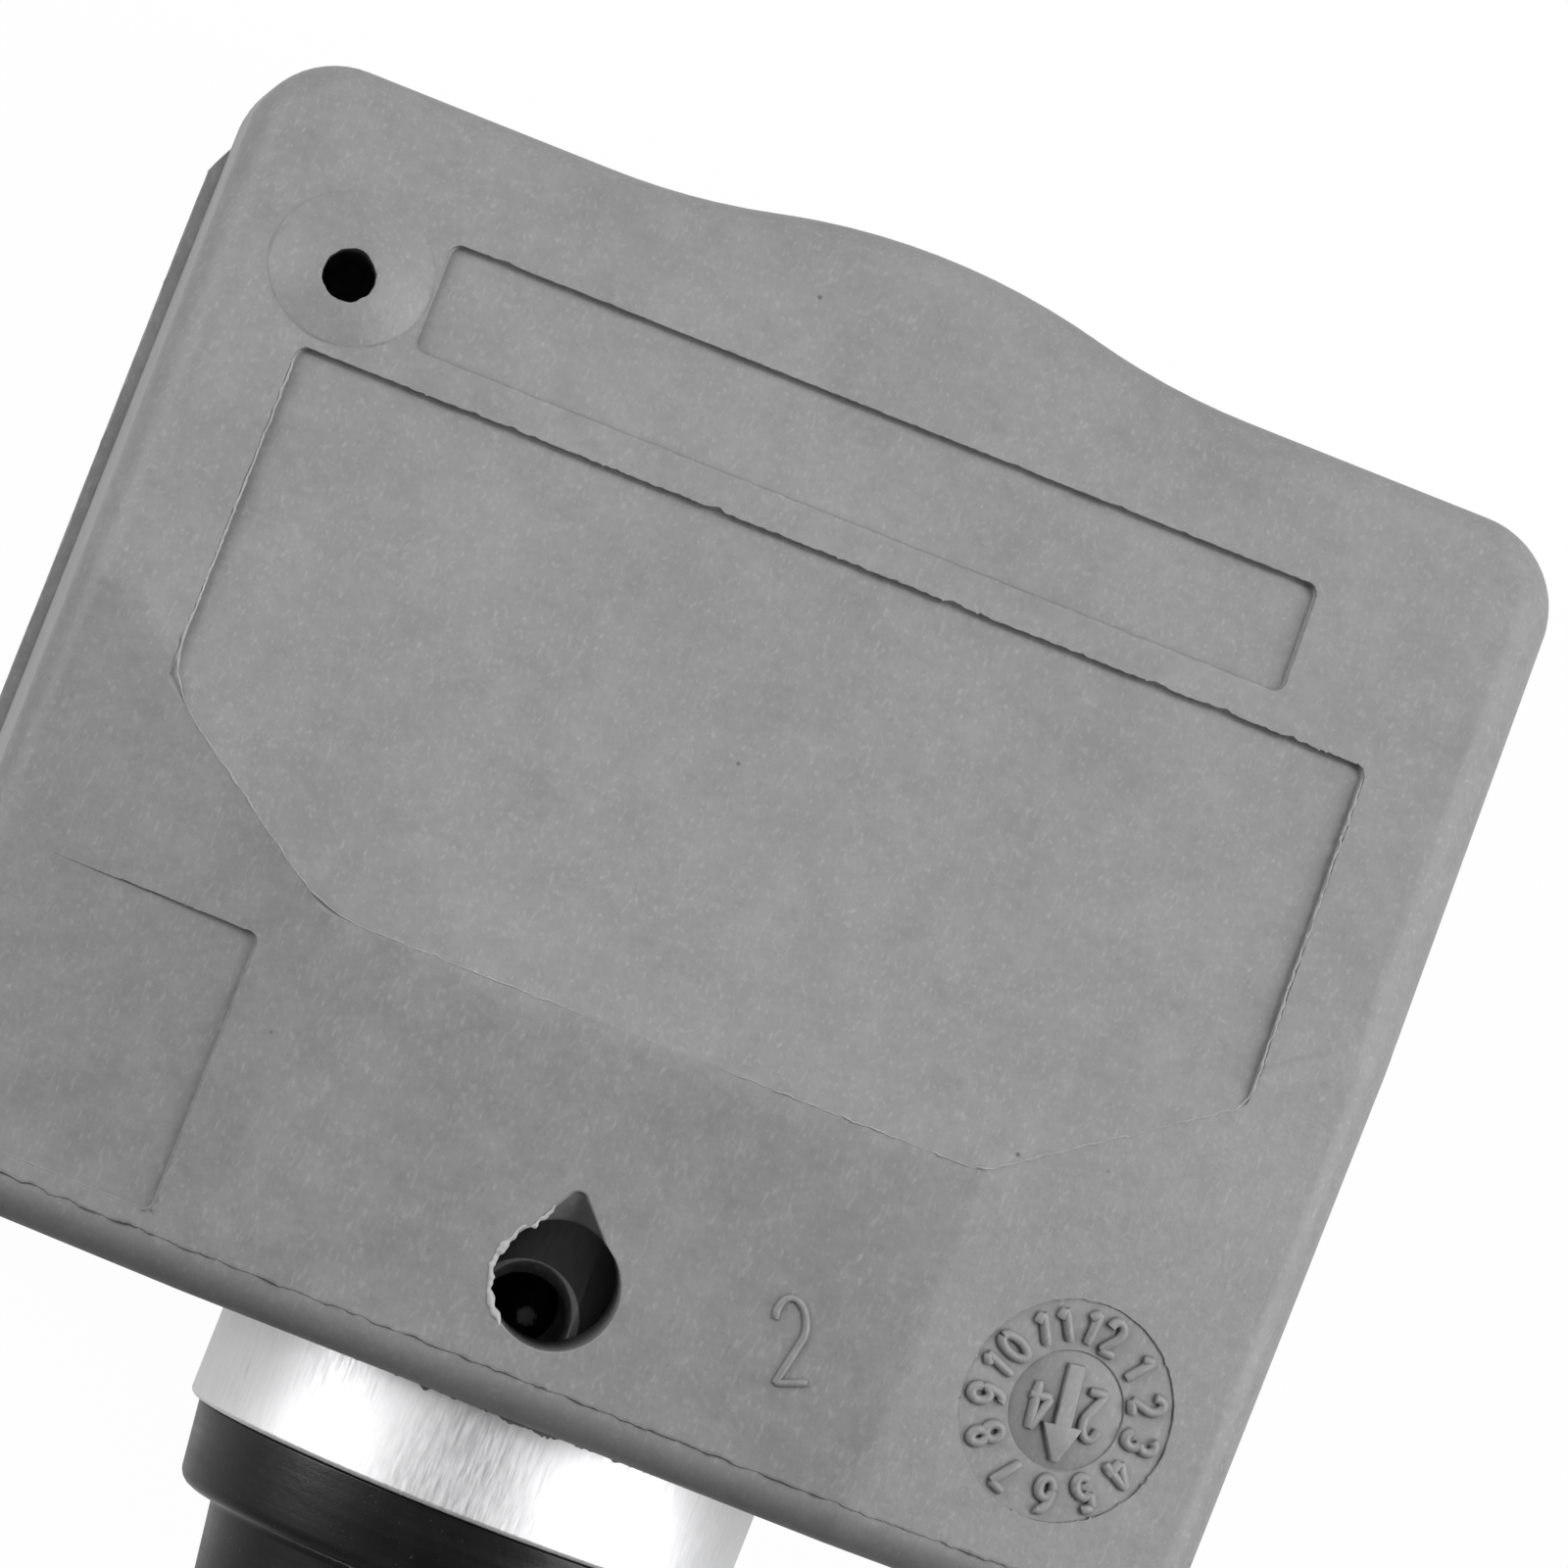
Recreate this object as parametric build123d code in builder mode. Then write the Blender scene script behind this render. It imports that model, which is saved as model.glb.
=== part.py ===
from build123d import *

import os
from math import acos, cos, degrees, radians, sin, sqrt, tan

# Clamp-in tyre pressure sensor, in millimetres.
# The origin is on the valve axis, at the face that seals against the wheel rim.
# -Y runs along the valve to its tip, +Y into the housing, and +Z is the label side.

os.makedirs("parts", exist_ok=True)

# Housing: a wedge with a flat roof by the valve, two side slopes and one long slope to the far end
HOUSING_WIDTH = 38.1
CORNER_RADIUS = 2.6
WALL = 1.8
TOP_HEIGHT = 9.3  # roof above the valve axis
BASE_MARGIN = 1.3  # underside below the collar's edge, at least
FLAT_LENGTH = 11.6  # front wall to the ridge
FLAT_WIDTH = 19.0
MAIN_SLOPE = 21.4  # degrees
SIDE_SLOPE = 15.0  # degrees
SIDE_DRAFT = 2.2  # degrees that the side walls spread towards the base
WALL_LEAN = 0.1  # a face whose normal rises less than this is a wall
CREASE_RADIUS = 2.0
EDGE_RADIUS = 1.2
BULGE_HEIGHT = 1.15  # the far wall swells round the coin cell
BULGE_WIDTH = 19.0

# Pockets and holes in the label side
POCKET_DEPTH = 0.25
POCKET_RADIUS = 0.3
LABEL_WIDTH = 31.4
LABEL_FAR_INSET = 7.8  # far wall to the pocket's upper edge
STRIP_WIDTH = 25.6
STRIP_LENGTH = 3.1
STRIP_FAR_INSET = 3.6
STAMP_WIDTH = 6.7
STAMP_LENGTH = 8.0
STAMP_SIDE_INSET = 1.5
STAMP_FRONT_INSET = 1.7
STAMP_DEPTH = 0.2
STAMP_LEAN = 1.8  # degrees, so the pocket runs out towards the side
DATE_RADIUS = 3.05
DATE_DEPTH = 0.12
DATE_SIDE_INSET = 4.9
DATE_FRONT_INSET = 5.7
PORT_RADIUS = 0.7
PORT_SIDE_INSET = 3.9
PORT_FAR_INSET = 5.5
DOME_RADIUS = 2.3  # low dome round the port
DOME_HEIGHT = 0.5
DOME_SHIFT = 0.2  # from the port's axis towards the far wall
OUTLET_RADIUS = 1.75
OUTLET_FRONT_INSET = 3.85
NOTCH_RADIUS = 1.65  # at the outlet, from where the notch narrows to its tip
NOTCH_TIP_RADIUS = 0.3
NOTCH_TIP_DEPTH = 0.12
NOTCH_LENGTH = 0.85
NOTCH_LEAN = 7.0  # degrees, tip turned towards the left
NOTCH_SLOPE = 38.0  # degrees, floor falling into the outlet

# Back cover, welded under the walls, with a lip along both sides
COVER_THICKNESS = 1.6
LIP = 0.38
LIP_END_INSET = 3.0
LIP_END_SLANT = 0.9
RIB_HEIGHT = 1.0
RIB_WIDTH = 0.9
RIB_GAP = 0.15
COVER_CHAMFER = 0.35

# Valve stem, whose radii build up from the core's bore outwards
COLLAR_LENGTH = 3.0
COLLAR_STEP = 0.3  # collar's edge outside the rubber flange
COLLAR_CHAMFER = 0.1
ROOT_RADIUS = 5.0
ROOT_LENGTH = 6.2
ROOT_HEAD_RADIUS = 6.2
ROOT_HEAD_LENGTH = 1.8
ROOT_COVER = 2.2  # plastic round the root
MOULD_GAP = 0.02
NUT_THREAD_DEPTH = 0.55
NUT_THREAD_LENGTH = 17.0
NUT_PASS_GAP = 0.08  # the nut slips over the cap thread
CAP_THREAD_DEPTH = 0.44
CAP_THREAD_LENGTH = 13.0
STEM_WALL = 0.83  # round the core's bore
STEP_LENGTH = 0.7
TIP_CHAMFER = 0.45
BORE_RADIUS = 1.9
BORE_END_WALL = 3.0
CORE_BORE_RADIUS = 2.6
CORE_BORE_LENGTH = 7.0
CORE_SEAT_LENGTH = 1.4
CROSS_HOLE_RADIUS = 1.2
CROSS_HOLE_SHIFT = 1.35  # towards the tip from the outlet's centre
CROSS_HOLE_TURN = 4.5  # degrees round the valve axis, towards the left
CROSS_HOLE_SINK = 0.38

# Rubber grommet
FLANGE_THICKNESS = 2.4
FLANGE_TAPER = 0.3
SEAT_WIDTH = 1.0  # flat ring that meets the rim
CONE_RISE = 0.65
SLEEVE_WALL = 1.15
CONE_LENGTH = 4.4
SLEEVE_LENGTH = 4.0
RUBBER_CHAMFER = 0.4

# Nut and washer
WASHER_RADIUS = 7.3
WASHER_THICKNESS = 1.0
WASHER_CHAMFER = 0.2
NUT_WALL = 1.44
NUT_HEIGHT = 6.5
NUT_CHAMFER = 0.6
NUT_LEAD_IN = 0.3
THREAD_GAP = 0.06
SEAT_GAP = 0.3
FACE_GAP = 0.1

# Valve cap
CAP_WALL = 0.92
CAP_WALL_END = 1.4
CAP_DEPTH = 12.0
CAP_CHAMFER = 0.6
GROOVE_COUNT = 18
GROOVE_WIDTH = 0.6
GROOVE_DEPTH = 0.25
GROOVE_LENGTH = 8.5
CAP_SEAL_THICKNESS = 1.0

# Valve core
CORE_HEAD_LENGTH = 4.2
CORE_HEAD_INSET = 1.2
CORE_HEAD_GAP = 0.05
CORE_BARREL_RADIUS = 1.55
CORE_BARREL_LENGTH = 10.0
CORE_BARREL_WALL = 0.3
CORE_END_WALL = 0.8
CORE_SEAL_INSET = 0.4
CORE_SEAL_LENGTH = 0.7
PIN_RADIUS = 0.5
PIN_INSET = 0.6
PIN_GAP = 0.3
PIN_COLLAR_GAP = 0.15
PIN_COLLAR_LENGTH = 0.6
PIN_COLLAR_INSET = 0.4
CUP_RADIUS = 1.45
CUP_LENGTH = 1.4
CUP_GAP = 0.05
SPRING_WIRE_RADIUS = 0.15  # half the width of the flat-sided wire
SPRING_TURNS = 4

# Circuit board and what stands on it
BOARD_THICKNESS = 1.0
BOARD_GAP = 0.5
BOARD_CORNER = 1.5
POST_SIDE = 2.2
POST_SIDE_INSET = 2.0
POST_NEAR_SETBACK = 7.5
POST_FAR_INSET = 2.3
STAKE_RADIUS = 0.6
STAKE_GAP = 0.1
STAKE_PROUD = 0.4
SENSOR_WIDTH = 5.6
SENSOR_LENGTH = 6.0
SENSOR_HEIGHT = 1.9
SENSOR_PORT_EDGE = 1.3
SENSOR_PORT_RADIUS = 0.5
SENSOR_PORT_DEPTH = 0.5
SEAL_RADIUS = 1.5
SEAL_HEIGHT = 0.75
PORT_BOSS_RADIUS = 1.9
PORT_BOSS_HEIGHT = 1.2  # below the roof, at least
CHIP_SIZE = (6.4, 4.4, 1.1)
CRYSTAL_SIZE = (3.2, 2.5, 0.8)
CAPACITOR_SIZE = (1.6, 0.8, 0.8)
CAPACITOR_SPACING = (2.6, 2.0)
COIL_LENGTH = 8.0
COIL_WIDTH = 3.0
COIL_HEIGHT = 2.8
COIL_WAIST = 0.7
COIL_FLANGE = 1.2
WINDING_GAP = 0.02
WINDING_DEPTH = 0.54
WINDING_ROUND = 0.3
ANTENNA_WIDTH = 1.4
ANTENNA_THICKNESS = 0.4
ANTENNA_HEIGHT = 5.8
ANTENNA_SIDE_INSET = 4.2
ANTENNA_NEAR_INSET = 2.0
ANTENNA_BEND = 1.6

# Coin cell and its welded tabs
CELL_RADIUS = 10.0
CELL_HEIGHT = 3.2
CELL_STEP = 0.6
CELL_STEP_INSET = 1.2
CELL_CHAMFER = 0.4
CELL_WALL_GAP = 0.55
CELL_NEAR_GAP = 1.3
CELL_RIB_GAP = 0.5
CELL_BOARD_GAP = 0.25
TAB_WIDTH = 4.0
TAB_THICKNESS = 0.15
TAB_OVERLAP = 6.0
TAB_REACH = 2.4
TAB_FLOOR_GAP = 0.25

# Radii of the stem and of what fits round it
CAP_THREAD_ROOT = CORE_BORE_RADIUS + STEM_WALL
CAP_THREAD_CREST = CAP_THREAD_ROOT + CAP_THREAD_DEPTH
CAP_BORE = CAP_THREAD_CREST + THREAD_GAP
CAP_RADIUS = CAP_BORE + CAP_WALL
NUT_THREAD_ROOT = CAP_THREAD_CREST + NUT_PASS_GAP
SHANK_RADIUS = NUT_THREAD_ROOT + NUT_THREAD_DEPTH
NUT_BORE = SHANK_RADIUS + THREAD_GAP
NUT_ACROSS_FLATS = 2 * (NUT_BORE + NUT_WALL)
SLEEVE_RADIUS = SHANK_RADIUS + SLEEVE_WALL
CONE_RADIUS = SLEEVE_RADIUS + CONE_RISE
FLANGE_RADIUS = CONE_RADIUS + SEAT_WIDTH + FLANGE_TAPER
COLLAR_RADIUS = FLANGE_RADIUS + COLLAR_STEP

# Stations along the valve axis
FRONT_Y = FLANGE_THICKNESS + COLLAR_LENGTH
RIDGE_Y = FRONT_Y + FLAT_LENGTH
OUTLET_Y = FRONT_Y + OUTLET_FRONT_INSET
ROOT_END_Y = FRONT_Y + ROOT_LENGTH + ROOT_HEAD_LENGTH
BOSS_END_Y = ROOT_END_Y + ROOT_COVER
CELL_Y = BOSS_END_Y + CELL_NEAR_GAP + CELL_RADIUS
INNER_FAR_Y = CELL_Y + CELL_RADIUS + CELL_WALL_GAP - BULGE_HEIGHT
FAR_Y = INNER_FAR_Y + WALL
SLEEVE_END_Y = -CONE_LENGTH - SLEEVE_LENGTH
NUT_THREAD_START_Y = SLEEVE_END_Y - SEAT_GAP / 2
NUT_THREAD_END_Y = NUT_THREAD_START_Y - NUT_THREAD_LENGTH
NECK_Y = NUT_THREAD_END_Y - STEP_LENGTH
TIP_Y = NECK_Y - CAP_THREAD_LENGTH
BORE_END_Y = ROOT_END_Y - BORE_END_WALL
WASHER_Y = SLEEVE_END_Y - SEAT_GAP
NUT_Y = WASHER_Y - WASHER_THICKNESS - FACE_GAP

# Places across the housing
HALF_WIDTH = HOUSING_WIDTH / 2
INNER_HALF_WIDTH = HALF_WIDTH - WALL
PORT_X = PORT_SIDE_INSET - HALF_WIDTH
PORT_Y = FAR_Y - PORT_FAR_INSET
BOARD_HALF_WIDTH = INNER_HALF_WIDTH - BOARD_GAP
BOARD_NEAR_Y = BOSS_END_Y + BOARD_GAP
BOARD_FAR_Y = INNER_FAR_Y - BOARD_GAP
BOARD_CENTRE_Y = (BOARD_NEAR_Y + BOARD_FAR_Y) / 2
POST_X = INNER_HALF_WIDTH - POST_SIDE_INSET
POST_NEAR_Y = BOARD_NEAR_Y + POST_NEAR_SETBACK
POST_FAR_Y = BOARD_FAR_Y - POST_FAR_INSET
POST_PLACES = ((POST_X, POST_NEAR_Y), (-POST_X, POST_NEAR_Y), (POST_X, POST_FAR_Y))
ROOT_BLOCK_HALF = ROOT_HEAD_RADIUS + ROOT_COVER

# The base lies as deep as the stack under the port needs, and below the collar
ROOF_FALL_AT_PORT = (PORT_Y - RIDGE_Y) * tan(radians(MAIN_SLOPE))
ROOF_AT_PORT = TOP_HEIGHT - ROOF_FALL_AT_PORT - WALL / cos(radians(MAIN_SLOPE))
BOARD_HEIGHT = TAB_FLOOR_GAP + CELL_HEIGHT + 2 * TAB_THICKNESS + CELL_BOARD_GAP
SENSOR_STACK = BOARD_THICKNESS + SENSOR_HEIGHT + SEAL_HEIGHT
PORT_STACK = COVER_THICKNESS + BOARD_HEIGHT + SENSOR_STACK + PORT_BOSS_HEIGHT
BASE_DEPTH = max(PORT_STACK - ROOF_AT_PORT, COLLAR_RADIUS + BASE_MARGIN)
FLOOR_Z = -BASE_DEPTH
SEAM_Z = FLOOR_Z + COVER_THICKNESS
BOARD_Z = SEAM_Z + BOARD_HEIGHT
BOARD_TOP_Z = BOARD_Z + BOARD_THICKNESS
CELL_Z = SEAM_Z + TAB_FLOOR_GAP + TAB_THICKNESS

# The side walls spread from the roof's edge down to the seam
ROOF_EDGE_Z = TOP_HEIGHT - (HALF_WIDTH - FLAT_WIDTH / 2) * tan(radians(SIDE_SLOPE))
SEAM_HALF_WIDTH = HALF_WIDTH + (ROOF_EDGE_Z - SEAM_Z) * tan(radians(SIDE_DRAFT))

# Planes of the roof
MAIN_NORMAL = (0, sin(radians(MAIN_SLOPE)), cos(radians(MAIN_SLOPE)))
MAIN_PLANE = Plane((0, RIDGE_Y, TOP_HEIGHT), x_dir=(1, 0, 0), z_dir=MAIN_NORMAL)


def side_plane(side):
    """The sloping facet on the right (side 1) or left (side -1) of the flat roof."""
    normal = (side * sin(radians(SIDE_SLOPE)), 0, cos(radians(SIDE_SLOPE)))
    return Plane((side * FLAT_WIDTH / 2, 0, TOP_HEIGHT), x_dir=(0, 1, 0), z_dir=normal)


def wall_plane(side):
    """The outside of the right (side 1) or left (side -1) wall, leaning in towards the roof."""
    normal = (side * cos(radians(SIDE_DRAFT)), 0, sin(radians(SIDE_DRAFT)))
    return Plane((side * SEAM_HALF_WIDTH, 0, SEAM_Z), x_dir=(0, 1, 0), z_dir=normal)


def main_height(y):
    """Height of the long slope's surface at y."""
    return TOP_HEIGHT - (y - RIDGE_Y) * tan(radians(MAIN_SLOPE))


def side_height(x):
    """Height of a side slope's surface at x."""
    return TOP_HEIGHT - (abs(x) - FLAT_WIDTH / 2) * tan(radians(SIDE_SLOPE))


def times_shared(edge, faces):
    """How many of the faces have this edge."""
    return sum(edge in face.edges() for face in faces)


def slope_roof(inset):
    """Cut the part in hand down to the roof planes, moved in by inset."""
    for plane in (MAIN_PLANE, side_plane(1), side_plane(-1)):
        split(bisect_by=plane.offset(-inset), keep=Keep.BOTTOM)


def square_outline(half_width):
    """The housing's outline seen from above, with the far wall's bulge and square corners."""
    half_bulge = BULGE_WIDTH / 2
    flank = (half_bulge / 2, FAR_Y + BULGE_HEIGHT / 2)
    with BuildSketch() as outline:
        with BuildLine():
            Polyline(
                (-half_bulge, FAR_Y),
                (-half_width, FAR_Y),
                (-half_width, FRONT_Y),
                (half_width, FRONT_Y),
                (half_width, FAR_Y),
                (half_bulge, FAR_Y),
            )
            TangentArc((half_bulge, FAR_Y), flank, tangent=(-1, 0))
            TangentArc((-half_bulge, FAR_Y), (-flank[0], flank[1]), tangent=(1, 0))
            ThreePointArc(flank, (0, FAR_Y + BULGE_HEIGHT), (-flank[0], flank[1]))
        make_face()
    return outline.sketch


def plan_outline(half_width, inset=0):
    """The same outline with rounded corners, moved in by inset."""
    with BuildSketch() as outline:
        add(square_outline(half_width))
        by_side = outline.vertices().group_by(Axis.X)
        fillet(by_side[0] + by_side[-1], radius=CORNER_RADIUS)
        if inset:
            offset(amount=-inset, mode=Mode.REPLACE)
    return outline.sketch


def turned(*points):
    """Half section for turning round the valve axis, from (y, radius) points."""
    with BuildSketch(Plane.YZ) as section:
        with BuildLine():
            Polyline(*points, close=True)
        make_face()
    return section.sketch


def ring(y_start, y_end, inner, outer):
    """Half section of a plain ring round the valve axis."""
    return turned((y_start, inner), (y_start, outer), (y_end, outer), (y_end, inner))


def pocket_outline(x_centre, y_near, y_far, width):
    """A rounded rectangle seen from above, for a pocket cut straight down."""
    with BuildSketch() as outline:
        with Locations((x_centre, (y_near + y_far) / 2)):
            RectangleRounded(width, y_far - y_near, POCKET_RADIUS)
    return outline.sketch


def root_section(gap):
    """Half section of the stem's root, which the housing is moulded round."""
    head_y = FRONT_Y + ROOT_LENGTH
    return turned(
        (FRONT_Y, 0),
        (FRONT_Y, ROOT_RADIUS + gap),
        (head_y - gap, ROOT_RADIUS + gap),
        (head_y - gap, ROOT_HEAD_RADIUS + gap),
        (ROOT_END_Y + gap, ROOT_HEAD_RADIUS + gap),
        (ROOT_END_Y + gap, 0),
    )


# Hollow of the housing, open at the base, with a block left for the stem's root
with BuildPart() as hollow:
    inner_outline = plan_outline(HALF_WIDTH, WALL)
    extrude(inner_outline.moved(Pos(0, 0, SEAM_Z)), amount=TOP_HEIGHT - WALL - SEAM_Z)
    slope_roof(WALL)
    with BuildSketch(Plane.XY.offset(SEAM_Z)):
        with Locations((0, FRONT_Y)):
            Rectangle(2 * ROOT_BLOCK_HALF, BOSS_END_Y - FRONT_Y, align=(Align.CENTER, Align.MIN))
    extrude(amount=TOP_HEIGHT - SEAM_Z, mode=Mode.SUBTRACT)

# Space above the pockets' floors, cut straight down as the mould opens
with BuildPart() as label_space:
    label_far = FAR_Y - LABEL_FAR_INSET
    strip_far = FAR_Y - STRIP_FAR_INSET
    extrude(pocket_outline(0, FRONT_Y, label_far, LABEL_WIDTH), amount=2 * TOP_HEIGHT)
    extrude(pocket_outline(0, strip_far - STRIP_LENGTH, strip_far, STRIP_WIDTH), amount=2 * TOP_HEIGHT)
    split(bisect_by=MAIN_PLANE.offset(-POCKET_DEPTH), keep=Keep.TOP)

# Space above the slanted floor of the square pocket on the left slope
with BuildPart() as stamp_space:
    stamp_x = STAMP_SIDE_INSET + STAMP_WIDTH / 2 - HALF_WIDTH
    stamp_near = FRONT_Y + STAMP_FRONT_INSET
    inner_edge = stamp_x + STAMP_WIDTH / 2
    extrude(
        pocket_outline(stamp_x, stamp_near, stamp_near + STAMP_LENGTH, STAMP_WIDTH),
        amount=2 * TOP_HEIGHT,
    )
    floor_lean = radians(SIDE_SLOPE - STAMP_LEAN)
    floor_point = (inner_edge, 0, side_height(inner_edge) - STAMP_DEPTH)
    stamp_floor = Plane(floor_point, x_dir=(0, 1, 0), z_dir=(-sin(floor_lean), 0, cos(floor_lean)))
    split(bisect_by=stamp_floor, keep=Keep.TOP)

# Space of the notch at the outlet's far edge, tapering to a tip in the flat roof
with BuildPart() as notch_space:
    notch_reach = OUTLET_RADIUS + NOTCH_LENGTH
    notch_plane = Plane((0, OUTLET_Y, TOP_HEIGHT)).rotated((0, 0, NOTCH_LEAN))
    with BuildSketch(notch_plane):
        Circle(NOTCH_RADIUS)
        with Locations((0, notch_reach - NOTCH_TIP_RADIUS)):
            Circle(NOTCH_TIP_RADIUS)
        make_hull()
    extrude(amount=-2 * OUTLET_RADIUS)
    tip_floor = notch_plane.from_local_coords((0, notch_reach, -NOTCH_TIP_DEPTH))
    slope = radians(NOTCH_SLOPE)
    floor_normal = Vector(0, -sin(slope), cos(slope)).rotate(Axis.Z, NOTCH_LEAN)
    split(bisect_by=Plane(tip_floor, z_dir=floor_normal), keep=Keep.TOP)

with BuildPart() as housing:
    extrude(
        square_outline(SEAM_HALF_WIDTH).moved(Pos(0, 0, SEAM_Z)),
        amount=TOP_HEIGHT - SEAM_Z,
    )
    for side in (1, -1):
        split(bisect_by=wall_plane(side), keep=Keep.BOTTOM)
    upright = housing.faces().filter_by(lambda face: abs(face.normal_at().Z) < WALL_LEAN)
    corners = housing.edges().filter_by(lambda edge: times_shared(edge, upright) == 2)
    fillet(corners.group_by(lambda edge: abs(edge.center().X))[-1], radius=CORNER_RADIUS)
    slope_roof(0)
    roof = housing.faces().filter_by(lambda face: face.normal_at().Z > WALL_LEAN)
    fillet(housing.edges().filter_by(lambda edge: times_shared(edge, roof) == 2), radius=CREASE_RADIUS)
    walls = housing.faces().filter_by(lambda face: abs(face.normal_at().Z) < WALL_LEAN)
    rims = housing.edges().filter_by(lambda edge: times_shared(edge, walls) == 1)
    fillet(rims - rims.group_by(Axis.Z)[0], radius=EDGE_RADIUS)
    add(hollow.part, mode=Mode.SUBTRACT)

    # Posts that the circuit board hangs on, each with a stake through the board
    for x, y in POST_PLACES:
        roof_z = min(main_height(y), side_height(x)) - WALL / 2
        with Locations((x, y, BOARD_TOP_Z)):
            Box(
                POST_SIDE,
                POST_SIDE,
                roof_z - BOARD_TOP_Z,
                align=(Align.CENTER, Align.CENTER, Align.MIN),
            )
            Cylinder(
                STAKE_RADIUS,
                BOARD_THICKNESS + STAKE_PROUD,
                align=(Align.CENTER, Align.CENTER, Align.MAX),
            )

    # Pressure port: a low dome, a fine hole and an inner boss that presses on the chip's seal
    port_roof_z = main_height(PORT_Y)
    boss_z = BOARD_TOP_Z + SENSOR_HEIGHT + SEAL_HEIGHT
    boss_height = port_roof_z - WALL / 2 - boss_z
    with Locations((PORT_X, PORT_Y, boss_z)):
        Cylinder(PORT_BOSS_RADIUS, boss_height, align=(Align.CENTER, Align.CENTER, Align.MIN))
    dome_y = PORT_Y + DOME_SHIFT
    ball_radius = (DOME_RADIUS**2 + DOME_HEIGHT**2) / (2 * DOME_HEIGHT)
    dome_plane = Plane((PORT_X, dome_y, main_height(dome_y)), x_dir=(1, 0, 0), z_dir=MAIN_NORMAL)
    with Locations(dome_plane.location):
        Sphere(
            ball_radius,
            arc_size1=degrees(acos(DOME_RADIUS / ball_radius)),
            align=(Align.CENTER, Align.CENTER, Align.MIN),
        )
    with Locations((PORT_X, PORT_Y, 0)):
        Cylinder(PORT_RADIUS, 2 * TOP_HEIGHT + BASE_DEPTH, mode=Mode.SUBTRACT)

    # Label pockets and the round recess of the date dial
    add(label_space.part, mode=Mode.SUBTRACT)
    add(stamp_space.part, mode=Mode.SUBTRACT)
    date_x = HALF_WIDTH - DATE_SIDE_INSET
    date_y = FRONT_Y + DATE_FRONT_INSET
    right_slope = side_plane(1)
    date_centre = (date_x, date_y, side_height(date_x))
    with BuildSketch(Plane(date_centre, x_dir=right_slope.x_dir, z_dir=right_slope.z_dir)):
        Circle(DATE_RADIUS)
    extrude(amount=-DATE_DEPTH, mode=Mode.SUBTRACT)

    # Stem root, and the air outlet that runs down to it
    revolve(root_section(MOULD_GAP), axis=Axis.Y, mode=Mode.SUBTRACT)
    with Locations((0, OUTLET_Y, 0)):
        Cylinder(
            OUTLET_RADIUS,
            2 * TOP_HEIGHT,
            align=(Align.CENTER, Align.CENTER, Align.MIN),
            mode=Mode.SUBTRACT,
        )
    add(notch_space.part, mode=Mode.SUBTRACT)
housing.part.label = "housing"
export_step(housing.part, "parts/housing.step")

with BuildPart() as back_cover:
    extrude(plan_outline(SEAM_HALF_WIDTH).moved(Pos(0, 0, FLOOR_Z)), amount=COVER_THICKNESS)
    lip_near = FRONT_Y + LIP_END_INSET
    lip_far = FAR_Y - LIP_END_INSET
    with BuildSketch(Plane.XY.offset(FLOOR_Z)):
        with BuildLine():
            Polyline(
                (SEAM_HALF_WIDTH - WALL, lip_near),
                (SEAM_HALF_WIDTH, lip_near),
                (SEAM_HALF_WIDTH + LIP, lip_near + LIP_END_SLANT),
                (SEAM_HALF_WIDTH + LIP, lip_far - LIP_END_SLANT),
                (SEAM_HALF_WIDTH, lip_far),
                (SEAM_HALF_WIDTH - WALL, lip_far),
                close=True,
            )
        make_face()
        mirror(about=Plane.YZ)
    extrude(amount=COVER_THICKNESS)
    underside = back_cover.faces().sort_by(Axis.Z)[0]
    chamfer(underside.edges(), length=COVER_CHAMFER)
    rib_outer = plan_outline(HALF_WIDTH, WALL + RIB_GAP).moved(Pos(0, 0, SEAM_Z))
    rib_inner = plan_outline(HALF_WIDTH, WALL + RIB_GAP + RIB_WIDTH).moved(Pos(0, 0, SEAM_Z))
    extrude(rib_outer, amount=RIB_HEIGHT)
    extrude(rib_inner, amount=RIB_HEIGHT, mode=Mode.SUBTRACT)
    with BuildSketch(Plane.XY.offset(SEAM_Z)):
        with Locations((0, FRONT_Y)):
            Rectangle(
                2 * (ROOT_BLOCK_HALF + RIB_GAP),
                BOSS_END_Y + RIB_GAP - FRONT_Y,
                align=(Align.CENTER, Align.MIN),
            )
        with Locations((0, CELL_Y)):
            Circle(CELL_RADIUS + CELL_RIB_GAP)
    extrude(amount=RIB_HEIGHT, mode=Mode.SUBTRACT)
back_cover.part.label = "back_cover"
export_step(back_cover.part, "parts/back_cover.step")

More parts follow.
